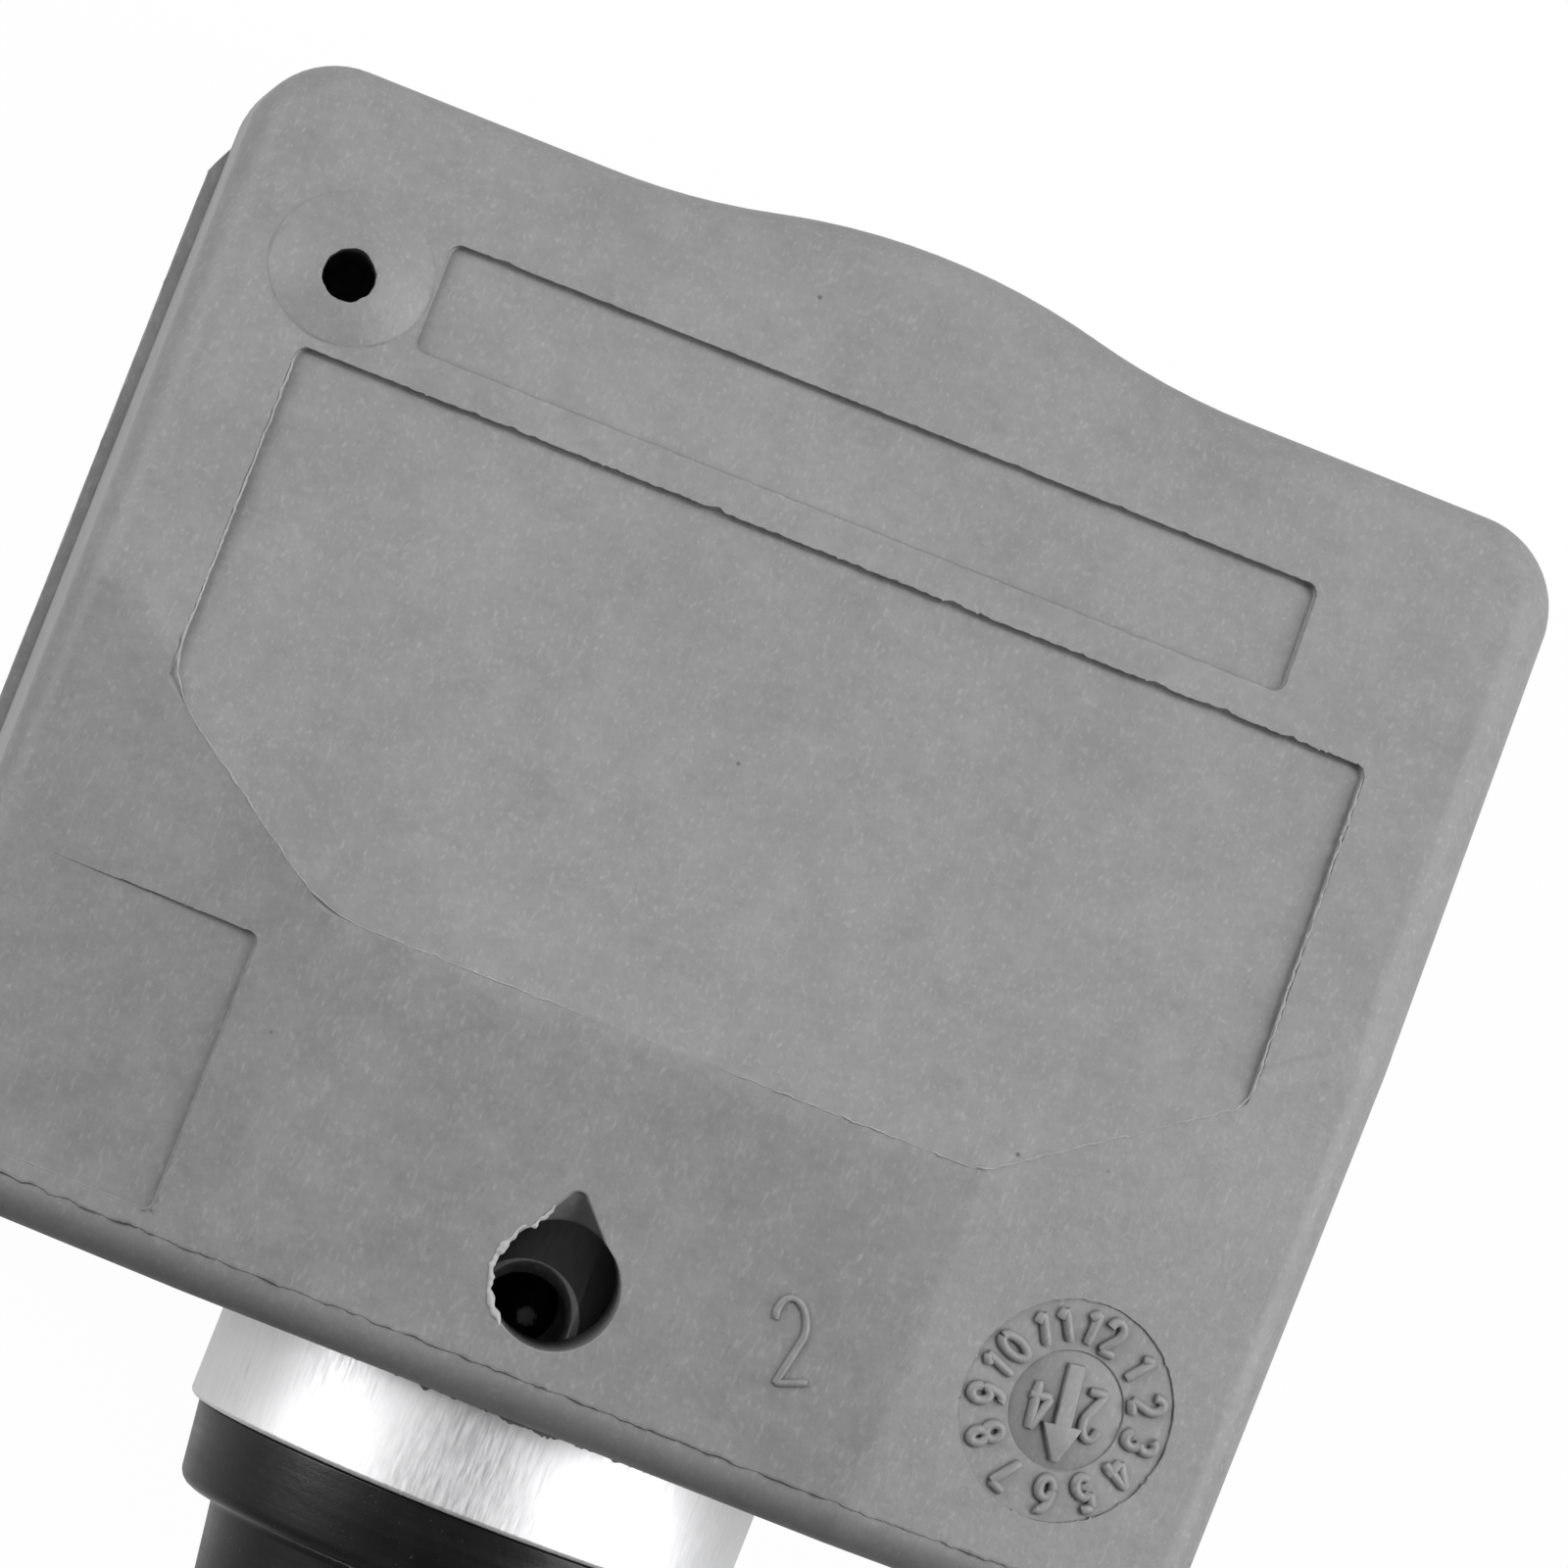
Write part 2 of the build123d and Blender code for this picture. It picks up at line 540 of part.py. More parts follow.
with BuildPart() as valve_stem:
    revolve(root_section(0), axis=Axis.Y)
    outside = turned(
        (FRONT_Y, 0),
        (FRONT_Y, COLLAR_RADIUS),
        (FLANGE_THICKNESS + COLLAR_CHAMFER, COLLAR_RADIUS),
        (FLANGE_THICKNESS, COLLAR_RADIUS - COLLAR_CHAMFER),
        (FLANGE_THICKNESS, SHANK_RADIUS),
        (NUT_THREAD_START_Y, SHANK_RADIUS),
        (NUT_THREAD_START_Y - NUT_THREAD_DEPTH, NUT_THREAD_ROOT),
        (NUT_THREAD_END_Y, NUT_THREAD_ROOT),
        (NECK_Y, CAP_THREAD_ROOT),
        (TIP_Y + TIP_CHAMFER, CAP_THREAD_ROOT),
        (TIP_Y, CAP_THREAD_ROOT - TIP_CHAMFER),
        (TIP_Y, 0),
    )
    revolve(outside, axis=Axis.Y)
    seat_y = TIP_Y + CORE_BORE_LENGTH
    bore = turned(
        (TIP_Y, 0),
        (TIP_Y, CORE_BORE_RADIUS),
        (seat_y, CORE_BORE_RADIUS),
        (seat_y + CORE_SEAT_LENGTH, BORE_RADIUS),
        (BORE_END_Y, BORE_RADIUS),
        (BORE_END_Y, 0),
    )
    revolve(bore, axis=Axis.Y, mode=Mode.SUBTRACT)
    with Locations(Location((0, OUTLET_Y - CROSS_HOLE_SHIFT, 0), (0, -CROSS_HOLE_TURN, 0))):
        Cylinder(
            CROSS_HOLE_RADIUS,
            2 * ROOT_RADIUS,
            align=(Align.CENTER, Align.CENTER, Align.MIN),
            mode=Mode.SUBTRACT,
        )
        with Locations((0, 0, ROOT_RADIUS)):
            Cone(
                CROSS_HOLE_RADIUS,
                CROSS_HOLE_RADIUS + CROSS_HOLE_SINK,
                CROSS_HOLE_SINK,
                align=(Align.CENTER, Align.CENTER, Align.MAX),
                mode=Mode.SUBTRACT,
            )
valve_stem.part.label = "valve_stem"
export_step(valve_stem.part, "parts/valve_stem.step")

with BuildPart() as rim_grommet:
    rubber = turned(
        (FLANGE_THICKNESS, SHANK_RADIUS + MOULD_GAP),
        (FLANGE_THICKNESS, FLANGE_RADIUS),
        (0, FLANGE_RADIUS - FLANGE_TAPER),
        (0, CONE_RADIUS),
        (-CONE_LENGTH, SLEEVE_RADIUS),
        (SLEEVE_END_Y, SLEEVE_RADIUS),
        (SLEEVE_END_Y, SHANK_RADIUS + MOULD_GAP),
    )
    revolve(rubber, axis=Axis.Y)
    outer_edges = rim_grommet.edges().filter_by(GeomType.CIRCLE).sort_by(SortBy.RADIUS)
    chamfer(outer_edges[-2], length=RUBBER_CHAMFER)
rim_grommet.part.label = "rim_grommet"
export_step(rim_grommet.part, "parts/rim_grommet.step")

with BuildPart() as nut_washer:
    revolve(
        ring(WASHER_Y, WASHER_Y - WASHER_THICKNESS, NUT_BORE, WASHER_RADIUS),
        axis=Axis.Y,
    )
    washer_rims = nut_washer.edges().filter_by(GeomType.CIRCLE).sort_by(SortBy.RADIUS)
    chamfer(washer_rims[-2:], length=WASHER_CHAMFER)
nut_washer.part.label = "nut_washer"
export_step(nut_washer.part, "parts/nut_washer.step")

with BuildPart() as hex_nut:
    nut_end = NUT_Y - NUT_HEIGHT
    corner_radius = NUT_ACROSS_FLATS / sqrt(3)
    with BuildSketch(Plane.XZ.offset(-NUT_Y)):
        RegularPolygon(NUT_ACROSS_FLATS / 2, side_count=6, major_radius=False)
    extrude(amount=NUT_HEIGHT)
    flat_radius = NUT_ACROSS_FLATS / 2 - NUT_LEAD_IN / 2
    rounded = turned(
        (NUT_Y, 0),
        (NUT_Y, flat_radius),
        (NUT_Y - NUT_CHAMFER, corner_radius),
        (nut_end + NUT_CHAMFER, corner_radius),
        (nut_end, flat_radius),
        (nut_end, 0),
    )
    revolve(rounded, axis=Axis.Y, mode=Mode.INTERSECT)
    lead_in = turned(
        (NUT_Y, 0),
        (NUT_Y, NUT_BORE + NUT_LEAD_IN),
        (NUT_Y - NUT_LEAD_IN, NUT_BORE),
        (nut_end + NUT_LEAD_IN, NUT_BORE),
        (nut_end, NUT_BORE + NUT_LEAD_IN),
        (nut_end, 0),
    )
    revolve(lead_in, axis=Axis.Y, mode=Mode.SUBTRACT)
hex_nut.part.label = "hex_nut"
export_step(hex_nut.part, "parts/hex_nut.step")

# The cap's seal stops just short of the stem's tip
CAP_SEAL_Y = TIP_Y - FACE_GAP
CAP_INNER_Y = CAP_SEAL_Y - CAP_SEAL_THICKNESS
CAP_END_Y = CAP_INNER_Y - CAP_WALL_END
CAP_MOUTH_Y = CAP_INNER_Y + CAP_DEPTH

with BuildPart() as valve_cap:
    revolve(
        turned(
            (CAP_MOUTH_Y, CAP_BORE),
            (CAP_MOUTH_Y, CAP_RADIUS),
            (CAP_END_Y, CAP_RADIUS),
            (CAP_END_Y, 0),
            (CAP_INNER_Y, 0),
            (CAP_INNER_Y, CAP_BORE),
        ),
        axis=Axis.Y,
    )
    outer_rims = valve_cap.edges().filter_by(GeomType.CIRCLE).sort_by(SortBy.RADIUS)[-2:]
    chamfer(outer_rims.sort_by(Axis.Y)[0], length=CAP_CHAMFER)
    groove_y = CAP_END_Y + CAP_CHAMFER
    with BuildSketch(Plane.XZ.offset(-groove_y)):
        with PolarLocations(CAP_RADIUS, GROOVE_COUNT):
            Rectangle(2 * GROOVE_DEPTH, GROOVE_WIDTH)
    extrude(amount=-GROOVE_LENGTH, mode=Mode.SUBTRACT)
valve_cap.part.label = "valve_cap"
export_step(valve_cap.part, "parts/valve_cap.step")

with BuildPart() as cap_seal:
    revolve(ring(CAP_SEAL_Y, CAP_INNER_Y, 0, CAP_BORE - THREAD_GAP), axis=Axis.Y)
cap_seal.part.label = "cap_seal"
export_step(cap_seal.part, "parts/cap_seal.step")

# Stations of the valve core inside the stem
CORE_HEAD_Y = TIP_Y + CORE_HEAD_INSET
CORE_BARREL_Y = CORE_HEAD_Y + CORE_HEAD_LENGTH
CORE_END_Y = CORE_BARREL_Y + CORE_BARREL_LENGTH
CORE_INNER_RADIUS = CORE_BARREL_RADIUS - CORE_BARREL_WALL
PIN_HOLE_RADIUS = PIN_RADIUS + PIN_GAP
PIN_COLLAR_RADIUS = CORE_INNER_RADIUS - PIN_COLLAR_GAP
SPRING_RADIUS = (PIN_RADIUS + CORE_INNER_RADIUS) / 2
SPRING_SEAT_Y = CORE_END_Y - CORE_END_WALL
PIN_COLLAR_Y = CORE_BARREL_Y + PIN_COLLAR_INSET
SPRING_START_Y = PIN_COLLAR_Y + PIN_COLLAR_LENGTH
CUP_Y = CORE_END_Y + CUP_GAP
CUP_END_Y = CUP_Y + CUP_LENGTH

with BuildPart() as core_barrel:
    revolve(
        turned(
            (CORE_HEAD_Y, PIN_HOLE_RADIUS),
            (CORE_HEAD_Y, CORE_BORE_RADIUS - CORE_HEAD_GAP),
            (CORE_BARREL_Y, CORE_BORE_RADIUS - CORE_HEAD_GAP),
            (CORE_BARREL_Y, CORE_BARREL_RADIUS),
            (CORE_END_Y, CORE_BARREL_RADIUS),
            (CORE_END_Y, PIN_HOLE_RADIUS),
            (SPRING_SEAT_Y, PIN_HOLE_RADIUS),
            (SPRING_SEAT_Y, CORE_INNER_RADIUS),
            (CORE_BARREL_Y, CORE_INNER_RADIUS),
            (CORE_BARREL_Y, PIN_HOLE_RADIUS),
        ),
        axis=Axis.Y,
    )
core_barrel.part.label = "core_barrel"
export_step(core_barrel.part, "parts/core_barrel.step")

# The seal ring wedges into the conical seat below the head's chamber
with BuildPart() as core_seal:
    taper = (CORE_BORE_RADIUS - BORE_RADIUS) / CORE_SEAT_LENGTH
    seal_start = TIP_Y + CORE_BORE_LENGTH + CORE_SEAL_INSET
    seal_end = seal_start + CORE_SEAL_LENGTH
    seal_radius = CORE_BORE_RADIUS - CORE_SEAL_INSET * taper - CORE_HEAD_GAP
    revolve(
        turned(
            (seal_start, CORE_BARREL_RADIUS),
            (seal_start, seal_radius),
            (seal_end, seal_radius - CORE_SEAL_LENGTH * taper),
            (seal_end, CORE_BARREL_RADIUS),
        ),
        axis=Axis.Y,
    )
core_seal.part.label = "core_seal"
export_step(core_seal.part, "parts/core_seal.step")

with BuildPart() as core_pin:
    pin_tip = TIP_Y + PIN_INSET
    revolve(
        turned(
            (pin_tip, 0),
            (pin_tip, PIN_RADIUS),
            (PIN_COLLAR_Y, PIN_RADIUS),
            (PIN_COLLAR_Y, PIN_COLLAR_RADIUS),
            (SPRING_START_Y, PIN_COLLAR_RADIUS),
            (SPRING_START_Y, PIN_RADIUS),
            (CUP_END_Y, PIN_RADIUS),
            (CUP_END_Y, 0),
        ),
        axis=Axis.Y,
    )
core_pin.part.label = "core_pin"
export_step(core_pin.part, "parts/core_pin.step")

with BuildPart() as core_cup:
    revolve(ring(CUP_Y, CUP_END_Y, PIN_RADIUS, CUP_RADIUS), axis=Axis.Y)
core_cup.part.label = "core_cup"
export_step(core_cup.part, "parts/core_cup.step")

with BuildPart() as core_spring:
    coil_start = SPRING_START_Y + SPRING_WIRE_RADIUS + CUP_GAP
    coil_end = SPRING_SEAT_Y - SPRING_WIRE_RADIUS - CUP_GAP
    coil_length = coil_end - coil_start
    with BuildLine() as coil:
        Helix(
            pitch=coil_length / SPRING_TURNS,
            height=coil_length,
            radius=SPRING_RADIUS,
            center=(0, coil_start, 0),
            direction=(0, 1, 0),
        )
    with BuildSketch(Plane(origin=coil.line @ 0, z_dir=coil.line % 0)):
        Rectangle(2 * SPRING_WIRE_RADIUS, 2 * SPRING_WIRE_RADIUS)
    sweep(is_frenet=True)
core_spring.part.label = "core_spring"
export_step(core_spring.part, "parts/core_spring.step")

with BuildPart() as circuit_board:
    with BuildSketch(Plane.XY.offset(BOARD_Z)) as board_outline:
        with Locations((0, BOARD_CENTRE_Y)):
            Rectangle(2 * BOARD_HALF_WIDTH, BOARD_FAR_Y - BOARD_NEAR_Y)
        chamfer(board_outline.vertices(), length=BOARD_CORNER)
        with Locations(*POST_PLACES):
            Circle(STAKE_RADIUS + STAKE_GAP, mode=Mode.SUBTRACT)
    extrude(amount=BOARD_THICKNESS)
circuit_board.part.label = "circuit_board"
export_step(circuit_board.part, "parts/circuit_board.step")

with BuildPart() as coin_cell:
    with BuildSketch(Plane.XY.offset(CELL_Z)):
        with Locations((0, CELL_Y)):
            Circle(CELL_RADIUS)
    extrude(amount=CELL_HEIGHT - CELL_STEP)
    can_rims = coin_cell.edges().filter_by(GeomType.CIRCLE)
    chamfer(can_rims, length=CELL_CHAMFER)
    with BuildSketch(Plane.XY.offset(CELL_Z + CELL_HEIGHT)):
        with Locations((0, CELL_Y)):
            Circle(CELL_RADIUS - CELL_STEP_INSET)
    extrude(amount=-CELL_HEIGHT / 2)
coin_cell.part.label = "coin_cell"
export_step(coin_cell.part, "parts/coin_cell.step")


def welded_tab(face_z, away, side):
    """Strip section in the XZ plane: flat on a face of the cell, then up to the board."""
    reach_x = CELL_RADIUS + TAB_REACH
    with BuildSketch(Plane.XZ.offset(-CELL_Y - TAB_WIDTH / 2)) as strip:
        with BuildLine():
            Polyline(
                (side * (CELL_RADIUS - TAB_OVERLAP), face_z),
                (side * reach_x, face_z),
                (side * reach_x, BOARD_Z),
                (side * (reach_x + TAB_THICKNESS), BOARD_Z),
                (side * (reach_x + TAB_THICKNESS), face_z + away * TAB_THICKNESS),
                (side * (CELL_RADIUS - TAB_OVERLAP), face_z + away * TAB_THICKNESS),
                close=True,
            )
        make_face()
    return strip.sketch


with BuildPart() as cell_tab_lower:
    extrude(welded_tab(CELL_Z, -1, 1), amount=TAB_WIDTH)
cell_tab_lower.part.label = "cell_tab_lower"
export_step(cell_tab_lower.part, "parts/cell_tab_lower.step")

with BuildPart() as cell_tab_upper:
    extrude(welded_tab(CELL_Z + CELL_HEIGHT, 1, -1), amount=TAB_WIDTH)
cell_tab_upper.part.label = "cell_tab_upper"
export_step(cell_tab_upper.part, "parts/cell_tab_upper.step")

# The sensor chip lies under the port, with its own port hole on the same axis
SENSOR_X = PORT_X - SENSOR_PORT_EDGE + SENSOR_WIDTH / 2
with BuildPart() as sensor_chip:
    with Locations((SENSOR_X, PORT_Y, BOARD_TOP_Z)):
        Box(SENSOR_WIDTH, SENSOR_LENGTH, SENSOR_HEIGHT, align=(Align.CENTER, Align.CENTER, Align.MIN))
    with Locations((PORT_X, PORT_Y, BOARD_TOP_Z + SENSOR_HEIGHT)):
        Hole(SENSOR_PORT_RADIUS, depth=SENSOR_PORT_DEPTH)
sensor_chip.part.label = "sensor_chip"
export_step(sensor_chip.part, "parts/sensor_chip.step")

with BuildPart() as port_seal:
    with BuildSketch(Plane.XY.offset(BOARD_TOP_Z + SENSOR_HEIGHT)):
        with Locations((PORT_X, PORT_Y)):
            Circle(SEAL_RADIUS)
            Circle(PORT_RADIUS, mode=Mode.SUBTRACT)
    extrude(amount=SEAL_HEIGHT)
port_seal.part.label = "port_seal"
export_step(port_seal.part, "parts/port_seal.step")

with BuildPart() as transmitter_chip:
    with Locations((0, BOARD_CENTRE_Y, BOARD_TOP_Z)):
        Box(*CHIP_SIZE, align=(Align.CENTER, Align.CENTER, Align.MIN))
transmitter_chip.part.label = "transmitter_chip"
export_step(transmitter_chip.part, "parts/transmitter_chip.step")

CRYSTAL_X = CHIP_SIZE[0] / 2 + CRYSTAL_SIZE[0]
with BuildPart() as crystal:
    with Locations((CRYSTAL_X, BOARD_CENTRE_Y, BOARD_TOP_Z)):
        Box(*CRYSTAL_SIZE, align=(Align.CENTER, Align.CENTER, Align.MIN))
crystal.part.label = "crystal"
export_step(crystal.part, "parts/crystal.step")

CAPACITOR_Y = BOARD_CENTRE_Y + CHIP_SIZE[1] / 2 + CAPACITOR_SPACING[1]
with BuildPart() as chip_capacitors:
    with Locations((0, CAPACITOR_Y, BOARD_TOP_Z)):
        with GridLocations(*CAPACITOR_SPACING, 4, 2):
            Box(*CAPACITOR_SIZE, align=(Align.CENTER, Align.CENTER, Align.MIN))
chip_capacitors.part.label = "chip_capacitors"
export_step(chip_capacitors.part, "parts/chip_capacitors.step")

# Wake-up coil: a waisted ferrite core with a winding round its waist
COIL_Y = BOARD_CENTRE_Y - CHIP_SIZE[1] / 2 - COIL_WIDTH
COIL_MID_Z = BOARD_TOP_Z + COIL_HEIGHT / 2
WAIST_LENGTH = COIL_LENGTH - 2 * COIL_FLANGE
WAIST_WIDTH = COIL_WIDTH - 2 * COIL_WAIST
WAIST_HEIGHT = COIL_HEIGHT - 2 * COIL_WAIST
with BuildPart() as wake_coil_core:
    with BuildSketch(Plane.YZ.offset(-COIL_LENGTH / 2)):
        with Locations((COIL_Y, COIL_MID_Z)):
            Rectangle(COIL_WIDTH, COIL_HEIGHT)
    extrude(amount=COIL_LENGTH)
    with BuildSketch(Plane.YZ.offset(-WAIST_LENGTH / 2)):
        with Locations((COIL_Y, COIL_MID_Z)):
            Rectangle(COIL_WIDTH, COIL_HEIGHT)
            Rectangle(WAIST_WIDTH, WAIST_HEIGHT, mode=Mode.SUBTRACT)
    extrude(amount=WAIST_LENGTH, mode=Mode.SUBTRACT)
wake_coil_core.part.label = "wake_coil_core"
export_step(wake_coil_core.part, "parts/wake_coil_core.step")

with BuildPart() as wake_coil_winding:
    wound_length = WAIST_LENGTH - 2 * WINDING_GAP
    inner_size = (WAIST_WIDTH + 2 * WINDING_GAP, WAIST_HEIGHT + 2 * WINDING_GAP)
    outer_size = (WAIST_WIDTH + 2 * WINDING_DEPTH, WAIST_HEIGHT + 2 * WINDING_DEPTH)
    with BuildSketch(Plane.YZ.offset(-wound_length / 2)):
        with Locations((COIL_Y, COIL_MID_Z)):
            RectangleRounded(*outer_size, WINDING_ROUND)
            Rectangle(*inner_size, mode=Mode.SUBTRACT)
    extrude(amount=wound_length)
wake_coil_winding.part.label = "wake_coil_winding"
export_step(wake_coil_winding.part, "parts/wake_coil_winding.step")

# Transmitting antenna: a bent strip that stands on the board under the high part of the roof
with BuildPart() as loop_antenna:
    foot_x = BOARD_HALF_WIDTH - ANTENNA_SIDE_INSET
    foot_y = BOARD_NEAR_Y + ANTENNA_NEAR_INSET
    arch_z = BOARD_TOP_Z + ANTENNA_HEIGHT
    with BuildLine() as arch:
        FilletPolyline(
            (-foot_x, foot_y, BOARD_TOP_Z),
            (-foot_x, foot_y, arch_z),
            (foot_x, foot_y, arch_z),
            (foot_x, foot_y, BOARD_TOP_Z),
            radius=ANTENNA_BEND,
        )
    with BuildSketch(Plane((-foot_x, foot_y, BOARD_TOP_Z))):
        Rectangle(ANTENNA_THICKNESS, ANTENNA_WIDTH)
    sweep()
loop_antenna.part.label = "loop_antenna"
export_step(loop_antenna.part, "parts/loop_antenna.step")
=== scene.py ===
from math import cos, pi, radians, sin, tan

import bmesh
import bpy
from mathutils import Matrix, Vector, noise


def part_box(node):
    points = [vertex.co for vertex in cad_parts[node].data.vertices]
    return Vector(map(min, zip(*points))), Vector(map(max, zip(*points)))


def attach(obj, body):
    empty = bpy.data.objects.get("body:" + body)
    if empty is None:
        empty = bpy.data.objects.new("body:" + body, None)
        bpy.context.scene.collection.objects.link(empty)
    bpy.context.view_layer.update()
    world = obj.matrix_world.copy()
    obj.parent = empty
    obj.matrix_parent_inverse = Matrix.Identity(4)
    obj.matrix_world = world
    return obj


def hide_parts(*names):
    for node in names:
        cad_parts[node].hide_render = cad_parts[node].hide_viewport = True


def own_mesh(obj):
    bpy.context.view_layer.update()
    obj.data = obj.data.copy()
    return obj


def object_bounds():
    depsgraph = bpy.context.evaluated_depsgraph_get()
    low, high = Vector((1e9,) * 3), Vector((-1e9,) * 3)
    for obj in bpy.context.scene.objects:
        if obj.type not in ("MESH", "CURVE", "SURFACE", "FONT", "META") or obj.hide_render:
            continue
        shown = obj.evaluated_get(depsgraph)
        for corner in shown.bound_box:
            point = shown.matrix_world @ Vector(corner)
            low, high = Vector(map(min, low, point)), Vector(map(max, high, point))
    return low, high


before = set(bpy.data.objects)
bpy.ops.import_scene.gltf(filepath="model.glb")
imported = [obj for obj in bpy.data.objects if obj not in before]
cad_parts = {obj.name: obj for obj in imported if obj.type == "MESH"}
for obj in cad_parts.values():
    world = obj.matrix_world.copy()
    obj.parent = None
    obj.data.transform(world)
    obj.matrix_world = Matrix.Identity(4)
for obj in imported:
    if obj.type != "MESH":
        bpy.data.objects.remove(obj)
cad_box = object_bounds()

# Lengths below are in millimetres and angles in degrees, unless a name says otherwise.
MM = 0.001

# The housing's own sizes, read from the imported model
HOUSING_LOW, HOUSING_HIGH = (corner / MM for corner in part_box("housing"))
FRONT_Y = HOUSING_LOW.y
FAR_Y = HOUSING_HIGH.y
HALF_WIDTH = HOUSING_HIGH.x
TOP_Z = HOUSING_HIGH.z
SEAM_Z = HOUSING_LOW.z
FLOOR_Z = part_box("back_cover")[0].z / MM
LIP_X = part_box("back_cover")[1].x / MM

# The roof: a flat part by the valve, two side slopes and one long slope
RIDGE_Y = FRONT_Y + 11.6
ROOF_HALF = 19.05
FLAT_HALF = 9.5
MAIN_SLOPE = 21.4
SIDE_SLOPE = 15.0
EDGE_RADIUS = 1.2
WALL = 1.8
POCKET_DEPTH = 0.25
MAIN_NORMAL = Vector((0, sin(radians(MAIN_SLOPE)), cos(radians(MAIN_SLOPE))))
SIDE_NORMAL = Vector((sin(radians(SIDE_SLOPE)), 0, cos(radians(SIDE_SLOPE))))
UP = Vector((0, 0, 1))
OUTLET_Y = FRONT_Y + 3.85
OUTLET_RADIUS = 1.75
NOTCH_FOOT = Vector((-1.16, 1.31, 0))  # left edge of the outlet's notch, from the outlet's centre
NOTCH_TIP = Vector((-0.54, 2.43, 0))
PORT_X = -15.15
PORT_Y = 32.6
PORT_RADIUS = 0.7
DOME_Y = PORT_Y + 0.2
DOME_RADIUS = 2.3

# Pockets in the roof: label, strip beyond it, stamp on the left and date dial on the right
LABEL_HALF = 15.7
LABEL_FAR_Y = 30.3
LABEL_TURN_Y = 20.55  # where the label pocket's sides meet its slanted lower edges
STRIP_HALF = 12.8
STRIP_FAR_Y = 34.5
STAMP_FAR_Y = 15.1
STAMP_INNER_X = -10.85
DIAL_X = 14.15
DIAL_Y = 11.1
DIAL_RADIUS = 3.05
ROOF_CUTS = (10.5, 25.0, 33.0)  # lines across every opening, so that no face has a hole in it

# The stem's collar and the rubber flange
COLLAR_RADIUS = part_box("valve_stem")[1].x / MM
FLANGE_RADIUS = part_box("rim_grommet")[1].x / MM
FLANGE_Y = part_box("rim_grommet")[1].y / MM

# The cross hole in the stem's root, seen through the outlet
CROSS_X = -0.38
CROSS_Y = OUTLET_Y - 1.35
CROSS_RADIUS = 1.2
# Around this point the painted shade in the cross hole is left out.
SPOT_PLACE = (0.1, OUTLET_Y - 1.63, 0)  # bright spot at the bottom of the cross hole
CROSS_RIM = 1.58

# Camera: the photograph's view, from above and a little to the left
CAMERA_TARGET = Vector((0.731, 24.058, 9.3))
CAMERA_DISTANCE = 293.84
CAMERA_ROLL = 21.568
CAMERA_LEAN_X = 2.935
CAMERA_LEAN_Y = 0.032
CAMERA_LENS = 251.23
CAMERA_SENSOR = 36.0


def new_object(name, data):
    """An object in the scene, at the origin of the row frame."""
    made = bpy.data.objects.new(name, data)
    bpy.context.scene.collection.objects.link(made)
    return made


def mesh_of(name, points, faces):
    """A mesh from points in millimetres."""
    mesh = bpy.data.meshes.new(name)
    mesh.from_pydata([Vector(point) * MM for point in points], [], faces)
    mesh.validate()
    return mesh


def tube_faces(rings, rows, closed=False, flip=False):
    """Faces of a tube made of rings of points: joined end to end if closed, or else capped."""
    faces = []
    for index in range(rings if closed else rings - 1):
        here, there = index * rows, (index + 1) % rings * rows
        for row in range(rows):
            step = (row + 1) % rows
            faces.append((here + row, there + row, there + step, here + step))
    if not closed:
        faces.append(tuple(range(rows)))
        faces.append(tuple(reversed(range((rings - 1) * rows, rings * rows))))
    return [face[:1] + face[:0:-1] for face in faces] if flip else faces


def add_piece(name, mesh, material, body="sensor", stands_for=None, sharp=40.0):
    """Put a mesh on a body with its finish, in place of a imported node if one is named."""
    mesh.materials.clear()
    mesh.materials.append(material)
    mesh.shade_smooth()
    mesh.set_sharp_from_angle(angle=radians(sharp))
    made = new_object(name, mesh)
    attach(made, body)
    if stands_for:
        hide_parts(stands_for)
    return made


# Materials

def feed(tree, socket, value):
    """Set a socket to a value, or link it to another node's socket."""
    if isinstance(value, bpy.types.NodeSocket):
        tree.links.new(value, socket)
    else:
        socket.default_value = value


def plug(tree, node, **inputs):
    """Feed the named inputs of a node."""
    for name, value in inputs.items():
        feed(tree, node.inputs[name.replace("_", " ")], value)


def add_node(tree, kind, settings=None, **inputs):
    """A shader node; an input is a value or another node's socket."""
    made = tree.nodes.new(kind)
    for name, value in (settings or {}).items():
        setattr(made, name, value)
    plug(tree, made, **inputs)
    return made


def grey(value):
    """A neutral colour of this linear value."""
    return (value, value, value, 1.0)


def new_material(name, **inputs):
    """A material with one principled shader, and these values on its sockets."""
    made = bpy.data.materials.new(name)
    made.use_nodes = True
    tree = made.node_tree
    shader = tree.nodes["Principled BSDF"]
    plug(tree, shader, **inputs)
    return made, tree, shader


def object_place(tree, scale=(1, 1, 1), turn=(0, 0, 0)):
    """The point in the object's own space, stretched by scale and turned."""
    place = add_node(tree, "ShaderNodeTexCoord").outputs["Object"]
    turned = [radians(angle) for angle in turn]
    return add_node(tree, "ShaderNodeMapping", Vector=place, Rotation=turned, Scale=scale).outputs[0]


def apart(tree, vector):
    """The X, Y and Z of a vector, by name."""
    return add_node(tree, "ShaderNodeSeparateXYZ", Vector=vector).outputs


def grain(tree, place, size, detail=2.0, roughness=0.5):
    """Noise whose features are about this many millimetres across."""
    inputs = {"Scale": 1 / (size * MM), "Detail": detail, "Roughness": roughness}
    return add_node(tree, "ShaderNodeTexNoise", Vector=place, **inputs).outputs["Fac"]


def ramp(tree, value, low, high, start=0.0, end=1.0):
    """Value taken from low..high to start..end, and held at the ends."""
    inputs = {"From_Min": low, "From_Max": high, "To_Min": start, "To_Max": end}
    return add_node(tree, "ShaderNodeMapRange", Value=value, **inputs).outputs["Result"]


